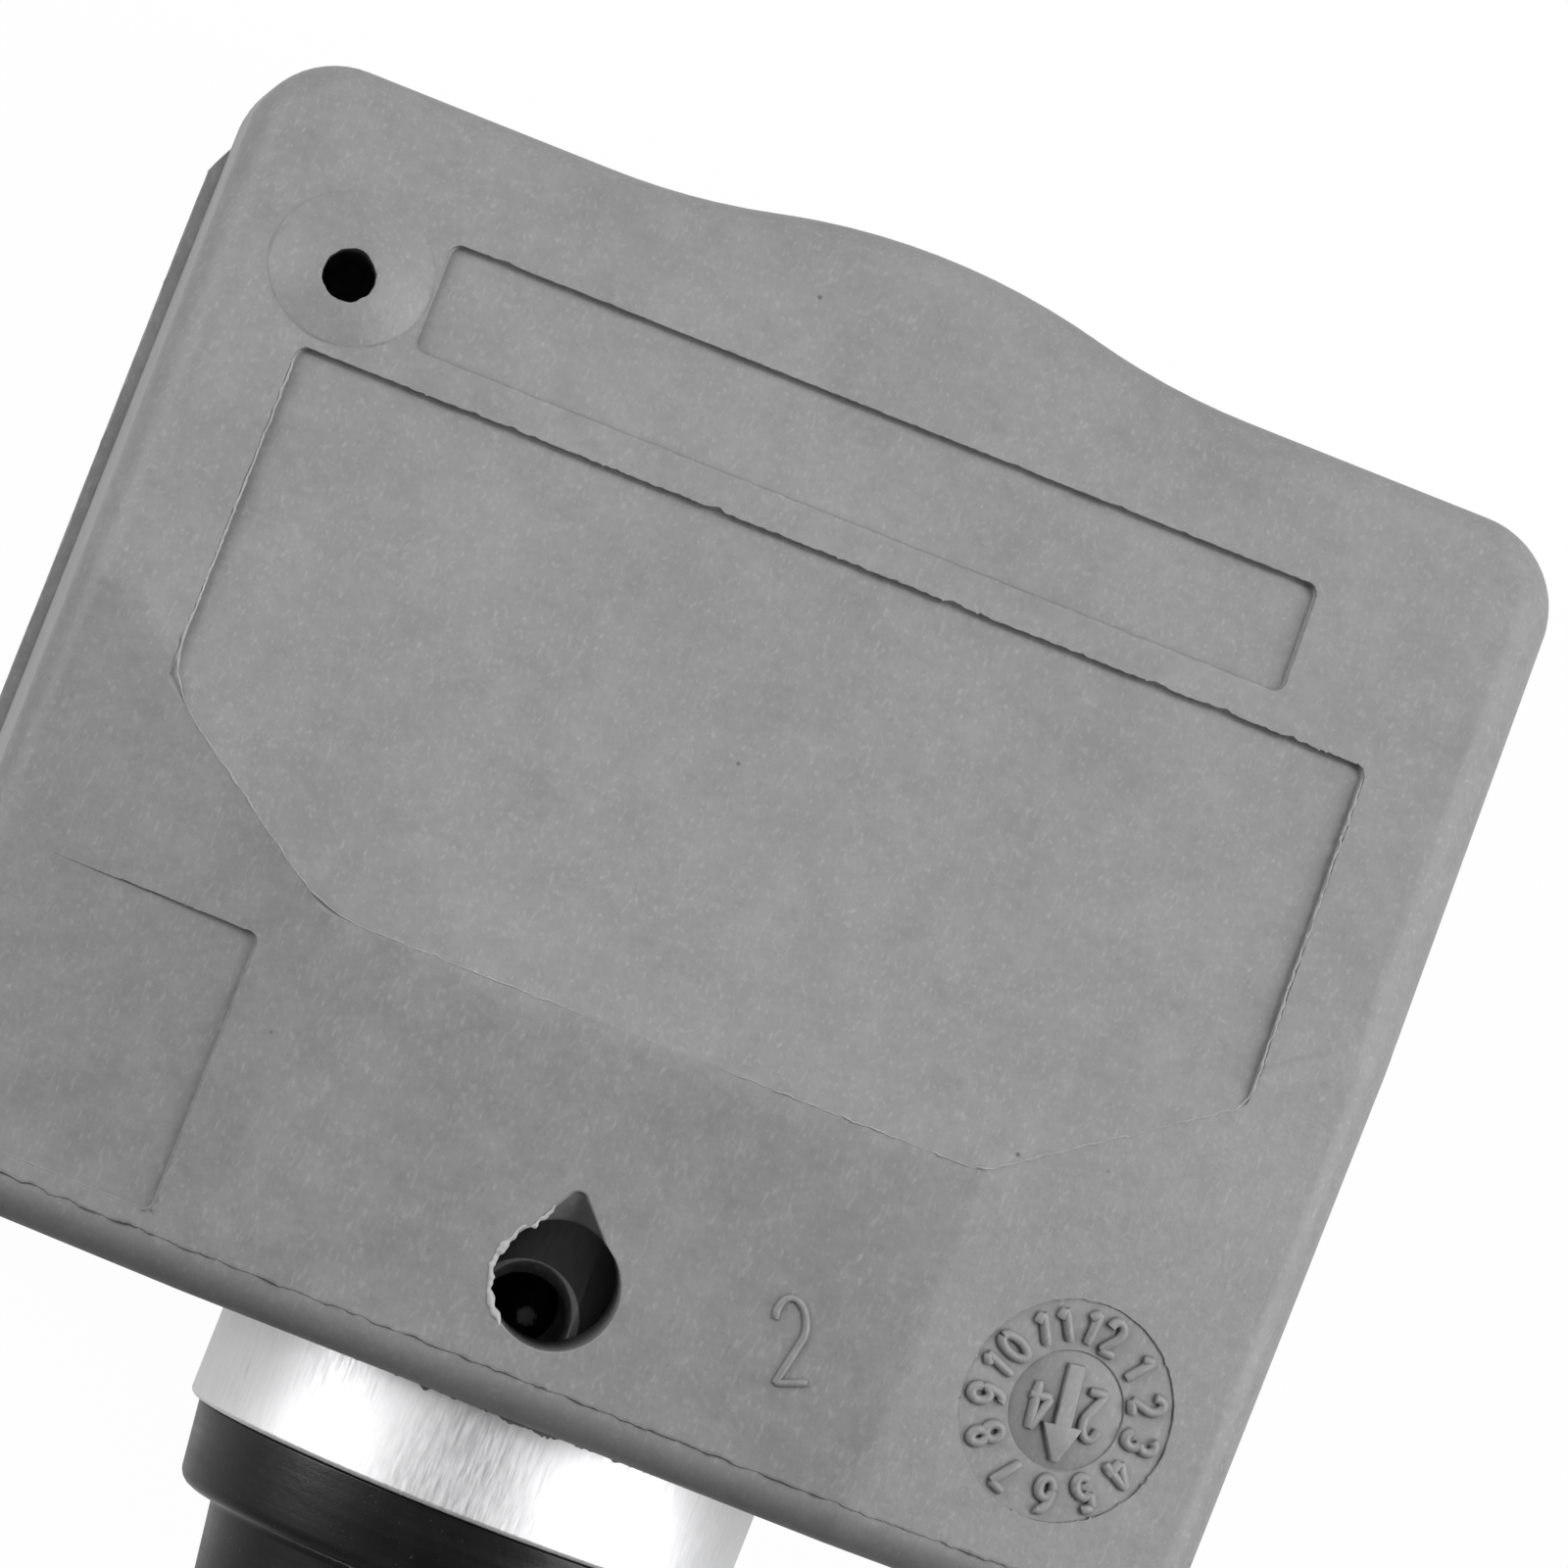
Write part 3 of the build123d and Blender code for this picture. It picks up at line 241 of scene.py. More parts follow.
def joined(tree, kind, operation, values):
    """The outputs of a node that joins values by an operation."""
    made = add_node(tree, kind, {"operation": operation})
    for socket, value in zip(made.inputs, values):
        feed(tree, socket, value)
    return made.outputs


def maths(tree, operation, first, second):
    """Two numbers joined by an operation."""
    return joined(tree, "ShaderNodeMath", operation, (first, second))[0]


def product(tree, first, *others):
    """Numbers multiplied together."""
    for other in others:
        first = maths(tree, "MULTIPLY", first, other)
    return first


def blend_colour(tree, share, first, second):
    """The first colour going over to the second by share."""
    made = add_node(tree, "ShaderNodeMix", {"data_type": "RGBA"})
    for index, value in ((0, share), (6, first), (7, second)):
        feed(tree, made.inputs[index], value)
    return made.outputs[2]


def bump(tree, height, depth, under=None):
    """A bumped normal; depth is the height of the relief."""
    inputs = {"Height": height, "Distance": depth * MM, "Strength": 1.0}
    if under is not None:
        inputs["Normal"] = under
    return add_node(tree, "ShaderNodeBump", **inputs).outputs["Normal"]


def from_axis(tree, place, centre, kept):
    """Distance of a point from an axis: centre is a point on it, kept the directions that count."""
    kind = "ShaderNodeVectorMath"
    moved = joined(tree, kind, "SUBTRACT", (place, Vector(centre) * MM))[0]
    flat = joined(tree, kind, "MULTIPLY", (moved, kept))[0]
    return joined(tree, kind, "LENGTH", (flat,))["Value"]


def dome_crease(tree, place, patch):
    """Share of painted shade in a broken line round the foot of the port's dome, strongest on its near
    side.
    """
    where = apart(tree, place)
    foot = from_axis(tree, place, (PORT_X, DOME_Y, 0), (1, 1 / cos(radians(MAIN_SLOPE)), 0))
    return product(
        tree,
        ramp(tree, foot, (DOME_RADIUS - 0.08) * MM, DOME_RADIUS * MM),
        ramp(tree, foot, DOME_RADIUS * MM, (DOME_RADIUS + 0.07) * MM, 1.0, 0.0),
        ramp(tree, patch, 0.4, 0.6, 0.1, 0.5),
        ramp(tree, where["Y"], (DOME_Y - 1.6) * MM, (DOME_Y + 2) * MM, 1.0, 0.15),
        ramp(tree, where["Z"], 0.0, 0.5 * MM),
    )


def outlet_wall(tree, place):
    """Share of painted shade on the wall inside the air outlet."""
    height = apart(tree, place)["Z"]
    axis = from_axis(tree, place, (0, OUTLET_Y, 0), (1, 1, 0))
    return product(
        tree,
        ramp(tree, height, (TOP_Z - 0.6) * MM, (TOP_Z - 0.1) * MM, 1.0, 0.0),
        ramp(tree, height, 0.0, 0.5 * MM),
        ramp(tree, axis, (OUTLET_RADIUS + 0.03) * MM, (OUTLET_RADIUS + 0.06) * MM, 1.0, 0.0),
    )


def front_grime(tree, place, patch):
    """Share of patchy painted shade on the housing's front, which ends at its rounded edge."""
    along = apart(tree, place)["Y"]
    front = ramp(tree, along, (FRONT_Y + 0.6) * MM, (FRONT_Y + 1.2) * MM, 1.0, 0.0)
    return product(tree, front, ramp(tree, patch, 0.35, 0.65, 0.22, 0.46))


def dark_specks(tree, place):
    """Share of small round specks, scattered thinly."""
    cells = add_node(tree, "ShaderNodeTexVoronoi", Vector=place, Scale=1 / (2.2 * MM), Randomness=1.0)
    near = ramp(tree, cells.outputs["Distance"], 0.014, 0.04, 1.0, 0.0)
    return product(tree, near, ramp(tree, cells.outputs["Color"], 0.56, 0.60))


def moulded_plastic(name, shade, mottle=0.12, fleck=0.15):
    """Matt glass-filled plastic: mottle, pale fibre flecks and dark specks, with painted shade in
    creases, round the dome's foot, in the outlet and on the front.
    """
    made, tree, shader = new_material(name, Specular_IOR_Level=0.5)
    place = object_place(tree)
    cloud = grain(tree, place, 5.0, 3.0, 0.6)
    patch = grain(tree, place, 1.0, 3.0, 0.65)
    spot = grain(tree, place, 0.3, 2.0, 0.6)
    mixed = maths(tree, "ADD", product(tree, cloud, 0.38), product(tree, patch, 0.34))
    mixed = maths(tree, "ADD", mixed, product(tree, spot, 0.28))
    pale = ramp(tree, mixed, 0.38, 0.62)
    colour = blend_colour(tree, pale, grey(shade * (1 - mottle)), grey(shade * (1 + mottle)))
    for turn in (20, 75, 140):
        streak = grain(tree, object_place(tree, (1.0, 0.42, 1.0), (0, 0, turn)), 0.12, 0.0)
        fibre = ramp(tree, streak, 0.68, 0.80, 0.0, fleck)
        colour = blend_colour(tree, fibre, colour, grey(min(1.0, shade * 1.9)))
    # Painted shade: the colour darkens where ambient occlusion finds creases and corners.
    shelter = add_node(tree, "ShaderNodeAmbientOcclusion", {"samples": 4}, Distance=0.3 * MM)
    # The specks are the plastic's own; the other masks here are painted shade.
    for share, tone in (
        (dark_specks(tree, place), 0.35),
        (ramp(tree, shelter.outputs["AO"], 0.35, 0.90, 0.45, 0.0), 0.3),
        (dome_crease(tree, place, patch), 0.3),
        (outlet_wall(tree, place), 0.7),
        (front_grime(tree, place, patch), 0.45),
    ):
        colour = blend_colour(tree, share, colour, grey(shade * tone))
    wave = bump(tree, grain(tree, place, 1.6, 2.0), 0.014)
    dents = bump(tree, spot, 0.008, wave)
    plug(
        tree,
        shader,
        Base_Color=colour,
        Roughness=ramp(tree, patch, 0.3, 0.7, 0.42, 0.56),
        Normal=bump(tree, grain(tree, place, 0.14, 3.0, 0.6), 0.008, dents),
    )
    return made


def scaled(colour, factor):
    """A colour made lighter or darker."""
    return tuple(min(1.0, factor * part) for part in colour[:3]) + (1.0,)


def worn_metal(name, colour, roughness, streak, depth=0.002, blotch=0.12):
    """Machined metal with fine streaks, stretched by streak, and with soft blotches and scratches."""
    made, tree, shader = new_material(name, Metallic=1.0, Specular_IOR_Level=0.5)
    place = object_place(tree)
    lines = grain(tree, object_place(tree, streak), 0.1, 3.0, 0.7)
    blot = grain(tree, place, 1.4, 4.0, 0.6)
    scratch = grain(tree, object_place(tree, (1.0, 0.06, 1.0), (0, 8, 24)), 0.07, 0.0)
    light = ramp(tree, lines, 0.35, 0.65)
    shaded = blend_colour(tree, light, scaled(colour, 0.92), scaled(colour, 1.03))
    for share, tone in (
        (ramp(tree, blot, 0.40, 0.72, 0.0, blotch), 0.6),
        (ramp(tree, scratch, 0.74, 0.80, 0.0, 0.3), 0.55),
    ):
        shaded = blend_colour(tree, share, shaded, scaled(colour, tone))
    plug(
        tree,
        shader,
        Base_Color=shaded,
        Roughness=ramp(tree, lines, 0.3, 0.7, roughness * 0.85, roughness * 1.2),
        Normal=bump(tree, lines, depth),
    )
    return made


def root_tarnish(material):
    """Darken the stem's root, which is moulded in, and paint shade into its cross hole, all but a spot
    where the bright metal shows.
    """
    tree = material.node_tree
    shader = tree.nodes["Principled BSDF"]
    bright = shader.inputs["Base Color"].links[0].from_socket
    place = object_place(tree)
    moulded = ramp(tree, apart(tree, place)["Y"], FRONT_Y * MM, (FRONT_Y + 0.1) * MM)
    outer = ramp(tree, from_axis(tree, place, (0, 0, 0), (1, 0, 1)), 4.2 * MM, 4.4 * MM)
    mouth = from_axis(tree, place, (CROSS_X, CROSS_Y, 0), (1, 1, 0))
    clear = ramp(tree, mouth, CROSS_RIM * MM, (CROSS_RIM + 0.05) * MM)
    dulled = blend_colour(tree, product(tree, moulded, outer, clear), bright, grey(0.2))
    ragged = product(tree, grain(tree, place, 0.2, 3.0, 0.7), 0.4 * MM)
    spot = maths(tree, "ADD", from_axis(tree, place, SPOT_PLACE, (1, 1, 0)), ragged)
    bore = ramp(tree, mouth, CROSS_RADIUS * MM, (CROSS_RADIUS + 0.03) * MM, 1.0, 0.0)
    # Painted shade in the cross hole, all but a ragged spot where the bright metal shows its
    # reflection.
    bore_shade = product(tree, bore, ramp(tree, spot, 0.38 * MM, 0.52 * MM), moulded)
    plug(tree, shader, Base_Color=blend_colour(tree, bore_shade, dulled, grey(0.05)))
    return material


def moulded_rubber(name, shade):
    """Black rubber: dull, with a dusty bloom, faint bands round the axis and a fine skin."""
    sheen = {"Sheen_Weight": 0.45, "Sheen_Roughness": 0.25}
    made, tree, shader = new_material(name, Specular_IOR_Level=0.4, **sheen)
    place = object_place(tree)
    bloom = grain(tree, place, 1.4, 4.0, 0.65)
    bands = grain(tree, object_place(tree, (0.04, 1.0, 0.04)), 0.35, 2.0)
    dust = grain(tree, place, 0.1, 2.0)
    colour = blend_colour(tree, ramp(tree, bloom, 0.42, 0.75), grey(shade), grey(shade * 2.2))
    colour = blend_colour(tree, ramp(tree, dust, 0.70, 0.78, 0.0, 0.5), colour, grey(0.16))
    dull = ramp(tree, bloom, 0.3, 0.7, 0.12, 0.20)
    plug(
        tree,
        shader,
        Base_Color=colour,
        Roughness=maths(tree, "ADD", dull, ramp(tree, bands, 0.3, 0.7, 0.14, 0.22)),
        Normal=bump(tree, grain(tree, place, 0.22, 3.0, 0.6), 0.006, bump(tree, bands, 0.012)),
    )
    return made


def plain_grain(name, colour, roughness, size=0.5, spread=0.15, metallic=0.0, depth=0.004):
    """A quiet finish with a little variation, for the cap and the pieces inside."""
    made, tree, shader = new_material(name, Metallic=metallic)
    place = object_place(tree)
    patch = grain(tree, place, size, 3.0, 0.6)
    light = ramp(tree, patch, 0.35, 0.65)
    plug(
        tree,
        shader,
        Base_Color=blend_colour(tree, light, scaled(colour, 1 - spread), scaled(colour, 1 + spread)),
        Roughness=ramp(tree, patch, 0.3, 0.7, roughness * 0.85, roughness * 1.15),
        Normal=bump(tree, grain(tree, place, size / 4, 2.0), depth),
    )
    return made


HOUSING_SHADE = 0.26
housing_plastic = moulded_plastic("housing_plastic_finish", HOUSING_SHADE)
flash_plastic = moulded_plastic("flash_plastic_finish", HOUSING_SHADE * 1.7)
# Painted highlight: a lighter copy of the housing plastic, for the lit burrs along the label pocket's
# edges.
lit_burr_plastic = moulded_plastic("lit_burr_plastic_finish", HOUSING_SHADE * 1.3)
disc_plastic = moulded_plastic("disc_plastic_finish", HOUSING_SHADE * 0.86)
# Painted shade: a darker copy of the housing plastic, for the front parting line.
shaded_line_plastic = moulded_plastic("shaded_line_plastic_finish", HOUSING_SHADE * 0.75)
# Painted light: the cover is a lighter copy of the housing plastic, so that its lip beside the
# housing's wall looks lit.
lit_cover_plastic = moulded_plastic("lit_cover_plastic_finish", HOUSING_SHADE * 1.3)
ALONG_AXIS = (1.0, 0.12, 1.0)
ROUND_AXIS = (0.03, 1.0, 0.03)
ALUMINIUM = (0.84, 0.84, 0.85, 1.0)
stem_aluminium = root_tarnish(worn_metal("stem_aluminium_finish", ALUMINIUM, 0.5, ALONG_AXIS, 0.001))
grommet_rubber = moulded_rubber("grommet_rubber_finish", 0.003)
FINISHES = {
    "stem_aluminium": stem_aluminium,
    "housing_plastic": housing_plastic,
    "black_rubber": grommet_rubber,
    "plated_steel": worn_metal("plated_steel_finish", (0.70, 0.70, 0.69, 1.0), 0.28, ROUND_AXIS, 0.001),
    "cap_plastic": plain_grain("cap_plastic_finish", grey(0.022), 0.42, 0.4, 0.3, depth=0.006),
    "core_brass": worn_metal("core_brass_finish", (0.80, 0.58, 0.27, 1.0), 0.3, ROUND_AXIS),
    "spring_steel": plain_grain("spring_steel_finish", grey(0.5), 0.3, 0.3, 0.1, 1.0),
    "board_laminate": plain_grain("board_laminate_finish", (0.02, 0.14, 0.05, 1.0), 0.4),
    "cell_steel": plain_grain("cell_steel_finish", grey(0.62), 0.3, 2.0, 0.06, 1.0),
    "tab_nickel": plain_grain("tab_nickel_finish", (0.66, 0.64, 0.58, 1.0), 0.3, 0.6, 0.08, 1.0),
    "chip_epoxy": plain_grain("chip_epoxy_finish", grey(0.018), 0.5, 0.3, 0.2),
    "capacitor_ceramic": plain_grain("capacitor_ceramic_finish", (0.33, 0.22, 0.13, 1.0), 0.45),
    "coil_ferrite": plain_grain("coil_ferrite_finish", grey(0.035), 0.6, 0.3, 0.2),
    "coil_copper": plain_grain("coil_copper_finish", (0.72, 0.33, 0.16, 1.0), 0.35, 0.2, 0.15, 1.0),
}


# Geometry of the roof

def roof_depth(point):
    """How far a point lies below the nearest of the roof's planes."""
    main = (point - Vector((0, RIDGE_Y, TOP_Z))).dot(MAIN_NORMAL)
    side = Vector((abs(point.x) - FLAT_HALF, 0, point.z - TOP_Z)).dot(SIDE_NORMAL)
    return -max(main, side, point.z - TOP_Z)


def is_outside(point):
    """Whether a point of the housing is on its outer skin and not in its hollow."""
    half_wall = WALL / 2
    on_side = abs(point.x) > HALF_WIDTH - half_wall
    on_end = point.y < FRONT_Y + half_wall or point.y > FAR_Y - WALL
    return roof_depth(point) < half_wall or on_side or on_end


SHARP_EDGE = 17.0
SHELL_SHARP = 50.0
BEVEL = 0.05


def cleaned(node, cuts=()):
    """The node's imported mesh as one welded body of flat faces, cut across at each y of the cuts."""
    body = bmesh.new()
    body.from_mesh(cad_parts[node].data)
    bmesh.ops.remove_doubles(body, verts=body.verts, dist=0.002 * MM)
    for cut in cuts:
        bmesh.ops.bisect_plane(
            body,
            geom=[*body.verts, *body.edges, *body.faces],
            dist=0.0005 * MM,
            plane_co=(0, cut * MM, 0),
            plane_no=(0, 1, 0),
        )
    kept = {vert for vert in body.verts if any(abs(vert.co.y - cut * MM) < 0.001 * MM for cut in cuts)}
    free = [edge for edge in body.edges if not all(vert in kept for vert in edge.verts)]
    loose = [vert for vert in body.verts if vert not in kept]
    bmesh.ops.dissolve_limit(body, angle_limit=radians(0.4), verts=loose, edges=free)
    return body


def sharp_edges(body, wanted):
    """Edges of a body that turn sharply and whose middle is wanted."""
    found = []
    for edge in body.edges:
        middle = (edge.verts[0].co + edge.verts[1].co) / 2 / MM
        if edge.calc_face_angle(0) > radians(SHARP_EDGE) and wanted(middle):
            found.append(edge)
    return found


def finished(name, body):
    """A body's mesh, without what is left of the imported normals."""
    bmesh.ops.dissolve_degenerate(body, dist=0.0005 * MM, edges=body.edges)
    mesh = bpy.data.meshes.new(name)
    body.to_mesh(mesh)
    body.free()
    for layer in ("custom_normal", "sharp_edge", "sharp_face"):
        if layer in mesh.attributes:
            mesh.attributes.remove(mesh.attributes[layer])
    return mesh


def soften(body, wanted, width=BEVEL, segments=2):
    """Round the sharp edges whose middle is wanted."""
    bmesh.ops.bevel(
        body,
        geom=sharp_edges(body, wanted),
        offset=width * MM,
        offset_type="OFFSET",
        segments=segments,
        profile=0.5,
        affect="EDGES",
        clamp_overlap=False,
    )


def breadth(face):
    """How broad a face is across its longest side."""
    return face.calc_area() / max(edge.calc_length() for edge in face.edges)


def part_broad_faces(mesh):
    """Keep the shading of two broad faces apart where they meet at a sharp edge."""
    body = bmesh.new()
    body.from_mesh(mesh)
    for edge in sharp_edges(body, lambda point: not on_ridge(point)):
        middle = (edge.verts[0].co + edge.verts[1].co) / 2 / MM
        if is_shallow(middle) or min(map(breadth, edge.link_faces)) > 2 * BEVEL * MM:
            edge.smooth = False
    body.to_mesh(mesh)
    body.free()


def steep_side(edge):
    """The steep face at an edge between a top face and a wall, or None."""
    steep = [face for face in edge.link_faces if abs(face.normal.z) < 0.5]
    return steep[0] if len(steep) == 1 else None


def divide(body, wanted, step):
    """Break the sharp edges whose middle is wanted into short lengths."""
    for edge in sharp_edges(body, wanted):
        first, last = edge.verts
        count = int(edge.calc_length() / (step * MM))
        for index in range(1, count):
            edge, first = bmesh.utils.edge_split(edge, first, 1 / (count - index + 1))
            edge = next(held for held in first.link_edges if held.other_vert(first) is last)


def panel(body, wanted, step):
    """Cut the walls below the wanted edges into short upright panels."""
    for edge in sharp_edges(body, wanted):
        wall = steep_side(edge)
        cuts = int(edge.calc_length() / (step * MM))
        if wall and len(wall.edges) == 4 and cuts:
            lower = next(held for held in wall.edges if not set(held.verts) & set(edge.verts))
            bmesh.ops.subdivide_edges(body, edges=[edge, lower], cuts=cuts, use_grid_fill=True)


def fray(body, wanted, step, setback):
    """Break the upper edges of walls into short lengths and set them back unevenly from the wall."""
    divide(body, wanted, step)
    ways = {}
    for edge in sharp_edges(body, wanted):
        wall = steep_side(edge)
        if wall:
            top = next(face.normal for face in edge.link_faces if face is not wall)
            back = top * wall.normal.dot(top) - wall.normal
            for vert in edge.verts:
                ways[vert] = ways.get(vert, Vector()) + back
    for vert, way in ways.items():
        vert.co += way.normalized() * setback(vert.co / MM) * MM


def on_dome_foot(point):
    """Whether a point is on the foot of the port's dome."""
    away = Vector((point.x - PORT_X, (point.y - DOME_Y) / cos(radians(MAIN_SLOPE)), 0))
    return abs(away.length - DOME_RADIUS) < 0.06 and point.x < -STRIP_HALF - 0.02


def in_dial(point):
    """Whether a point is in or beside the date dial's recess."""
    return Vector((point.x - DIAL_X, point.y - DIAL_Y, 0)).length < DIAL_RADIUS + 0.2


def in_stamp(point):
    """Whether a point is in or beside the stamp's recess."""
    return point.x < STAMP_INNER_X + 0.2 and FRONT_Y + 1.5 < point.y < STAMP_FAR_Y + 0.2


def is_shallow(point):
    """Whether a point is where a pocket runs out into the roof."""
    label_foot = RIDGE_Y - 1 < point.y < LABEL_TURN_Y + 0.4 and abs(point.x) < LABEL_HALF + 0.2
    stamp_end = in_stamp(point) and point.x < STAMP_INNER_X - 4.0
    return roof_depth(point) < 0.2 and (label_foot or stamp_end)


def on_pocket_edge(point):
    """Whether a point is on the upper edge of a pocket."""
    in_slope = abs(point.x) < LABEL_HALF + 0.2 and RIDGE_Y - 1 < point.y < STRIP_FAR_Y + 0.2
    on_roof = roof_depth(point) < 0.01 and not on_dome_foot(point) and not is_shallow(point)
    return on_roof and (in_slope or in_stamp(point) or in_dial(point))


def pocket_setback(point):
    """How far a pocket's edge stands back: a little draft, a fine ripple and some chips."""
    ripple = noise.noise(point * 9.0) + 0.7 * noise.noise(point * 3.7)
    chip = max(0.0, noise.noise(point * 2.3 + Vector((5, 1, 8))) - 0.25)
    if in_dial(point):
        return 0.02 + 0.02 * ripple
    torn = 2.4 if abs(point.y - LABEL_FAR_Y) < 0.3 and point.x > -12.5 else 1.0
    draft = 0.015 if in_stamp(point) else 0.035
    return draft + torn * (0.016 * ripple + 0.09 * chip)


def on_ridge(point):
    """Whether a point is on the soft crease between the label pocket and the flat roof."""
    return abs(point.x) < FLAT_HALF - 0.3 and abs(point.y - RIDGE_Y) < 1.0 and roof_depth(point) < 0.02


def on_port_rim(point):
    """Whether a point is on the upper rim of the pressure port."""
    away = Vector((point.x - PORT_X, point.y - PORT_Y, 0))
    return abs(away.length - PORT_RADIUS) < 0.06 and roof_depth(point) < -0.1


def port_setback(point):
    """How far the port's rim stands from its facets: out to a round hole with a rough edge."""
    away = Vector((point.x - PORT_X, point.y - PORT_Y, 0))
    ripple = noise.noise(point * 2.6) + 0.8 * noise.noise(point * 7.0)
    return PORT_RADIUS - away.length + 0.035 * ripple


def on_notch(point):
    """Whether a point is on the upper edge of the notch beside the outlet."""
    away = Vector((point.x, point.y - OUTLET_Y, 0))
    beyond = away.length - OUTLET_RADIUS
    return roof_depth(point) < 0.02 and 0.05 < beyond < 1.0 and away.y > 0


def run_over(body, wanted, reach):
    """Cut strips along both sides of a straight crease, over which its shading runs softly."""
    first, last = (vert.co.copy() for vert in sharp_edges(body, wanted)[0].verts)
    side = (last - first).cross(UP).normalized()
    for offset in (-reach, reach):
        faces = {face for edge in sharp_edges(body, wanted) for face in edge.link_faces}
        edges = {edge for face in faces for edge in face.edges}
        verts = {vert for face in faces for vert in face.verts}
        bmesh.ops.bisect_plane(
            body,
            geom=[*verts, *edges, *faces],
            dist=0.0001 * MM,
            plane_co=first + side * offset * MM,
            plane_no=side,
        )


def add_shell(name, body, material, body_name, node):
    """A node's reworked mesh in its place, shaded so that broad faces look flat."""
    made = add_piece(name, finished(name, body), material, body_name, node, SHELL_SHARP)
    made.modifiers.new("flat_faces", "WEIGHTED_NORMAL").keep_sharp = True
    return made


def add_housing():
    """The housing with its edges rounded as a mould leaves them."""
    body = cleaned("housing", ROOF_CUTS)
    fray(body, on_port_rim, 0.05, port_setback)
    panel(body, on_pocket_edge, 0.1)
    fray(body, on_pocket_edge, 0.1, pocket_setback)
    soften(body, lambda point: on_pocket_edge(point) or on_port_rim(point), 0.018)
    soften(body, on_notch, 0.1, 3)
    left = (on_pocket_edge, is_shallow, on_port_rim, on_dome_foot, on_notch)
    soften(body, lambda point: is_outside(point) and not any(test(point) for test in left))
    run_over(body, on_ridge, 0.6)
    made = add_shell("housing_shell", body, housing_plastic, "sensor", "housing")
    part_broad_faces(made.data)


def on_lip_edge(point):
    """Whether a point is on the upper outer edge of the back cover's lip."""
    return abs(point.x) > LIP_X - 0.5 and point.z > SEAM_Z - 0.02


def lip_setback(point):
    """How far the lip's torn edge stands back."""
    return 0.10 * abs(noise.noise(point * 0.8) + 0.6 * noise.noise(point * 2.9))


def add_cover():
    """The back cover, with the torn edge that its lip has along both sides."""
    body = cleaned("back_cover")
    fray(body, on_lip_edge, 0.2, lip_setback)
    soften(body, on_lip_edge, 0.03)
    soften(body, lambda point: point.z < SEAM_Z - 0.05, 0.08)
    # In the lighter copy of the plastic: painted light.
    add_shell("cover_shell", body, lit_cover_plastic, "sensor", "back_cover")


def add_softened(node, name, body_name, slot, width):
    """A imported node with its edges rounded."""
    body = cleaned(node)
    soften(body, lambda point: True, width)
    add_shell(name, body, FINISHES[slot], body_name, node)


def add_spring():
    """The valve core's spring on its own copy of the mesh; it stays at rest here, though the real one
    shortens as its pin is pressed in.
    """
    mesh = finished("spring_coil", cleaned("core_spring"))
    steel = FINISHES["spring_steel"]
    made = add_piece("spring_coil", mesh, steel, "sensor", "core_spring")
    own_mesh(made)


# Raised strokes: digits cut in the mould with a round cutter

DIGIT_ASPECT = 0.62
STROKE_END = 0.12  # share of a stroke's first and last stretch over which it tapers
STROKE_TAPER = 0.8


def arc(x, y, half_width, half_height, start, end, steps=10):
    """Points along an ellipse from one angle to another."""
    angles = [radians(start + (end - start) * index / steps) for index in range(steps + 1)]
    return [(x + half_width * cos(angle), y + half_height * sin(angle)) for angle in angles]


SIX = [arc(0.62, 0.30, 0.42, 0.70, 75, 180) + arc(0.5, 0.30, 0.30, 0.30, 180, -180, 16)]
DIGITS = {
    "0": [arc(0.5, 0.5, 0.32, 0.5, 90, 450, 18)],
    "1": [[(0.25, 0.74), (0.55, 1.0)], [(0.55, 1.0), (0.55, 0.0)]],
    "2": [arc(0.5, 0.70, 0.30, 0.30, 170, -35) + [(0.20, 0.0)], [(0.20, 0.0), (0.82, 0.0)]],
    "3": [arc(0.47, 0.75, 0.28, 0.25, 155, -90), arc(0.47, 0.25, 0.31, 0.25, 90, -155)],
    "4": [[(0.66, 0.0), (0.66, 1.0)], [(0.66, 1.0), (0.12, 0.30)], [(0.12, 0.30), (0.88, 0.30)]],
    "5": [
        [(0.76, 1.0), (0.28, 1.0)],
        [(0.28, 1.0), (0.25, 0.56)],
        arc(0.48, 0.32, 0.31, 0.32, 138, -150),
    ],
    "6": SIX,
    "7": [[(0.18, 1.0), (0.82, 1.0)], [(0.82, 1.0), (0.40, 0.0)]],
    "8": [arc(0.5, 0.76, 0.26, 0.24, -90, 270, 14), arc(0.5, 0.26, 0.31, 0.26, 90, 450, 16)],
    "9": [[(1 - x, 1 - y) for x, y in line] for line in SIX],
}


def digit_lines(text, height, advance, centre, right, up, aspect=DIGIT_ASPECT):
    """The strokes of a number, centred on a point of a plane."""
    lines = []
    width = advance * len(text)
    digit_width = height * aspect
    for index, digit in enumerate(text):
        shift = advance * index - width / 2 + (advance - digit_width) / 2
        for line in DIGITS[digit]:
            lines.append(
                [centre + right * (shift + x * digit_width) + up * (y - 0.5) * height for x, y in line]
            )
    return lines


def stroke_mesh(name, lines, radius):
    """Round ridges along lines, each tapered at its two ends."""
    curve = bpy.data.curves.new(name, "CURVE")
    curve.dimensions = "3D"
    curve.bevel_depth = radius * MM
    curve.bevel_resolution = 3
    curve.use_fill_caps = True
    for line in lines:
        near = line[0].lerp(line[1], STROKE_END)
        far = line[-1].lerp(line[-2], STROKE_END)
        points = [line[0], near, *line[1:-1], far, line[-1]]
        spline = curve.splines.new("POLY")
        spline.points.add(len(points) - 1)
        for held, point in zip(spline.points, points):
            held.co = (*(point * MM), 1.0)
        spline.points[0].radius = STROKE_TAPER
        spline.points[-1].radius = STROKE_TAPER
    holder = bpy.data.objects.new(name, curve)
    mesh = bpy.data.meshes.new_from_object(holder)
    bpy.data.objects.remove(holder)
    bpy.data.curves.remove(curve)
    return mesh


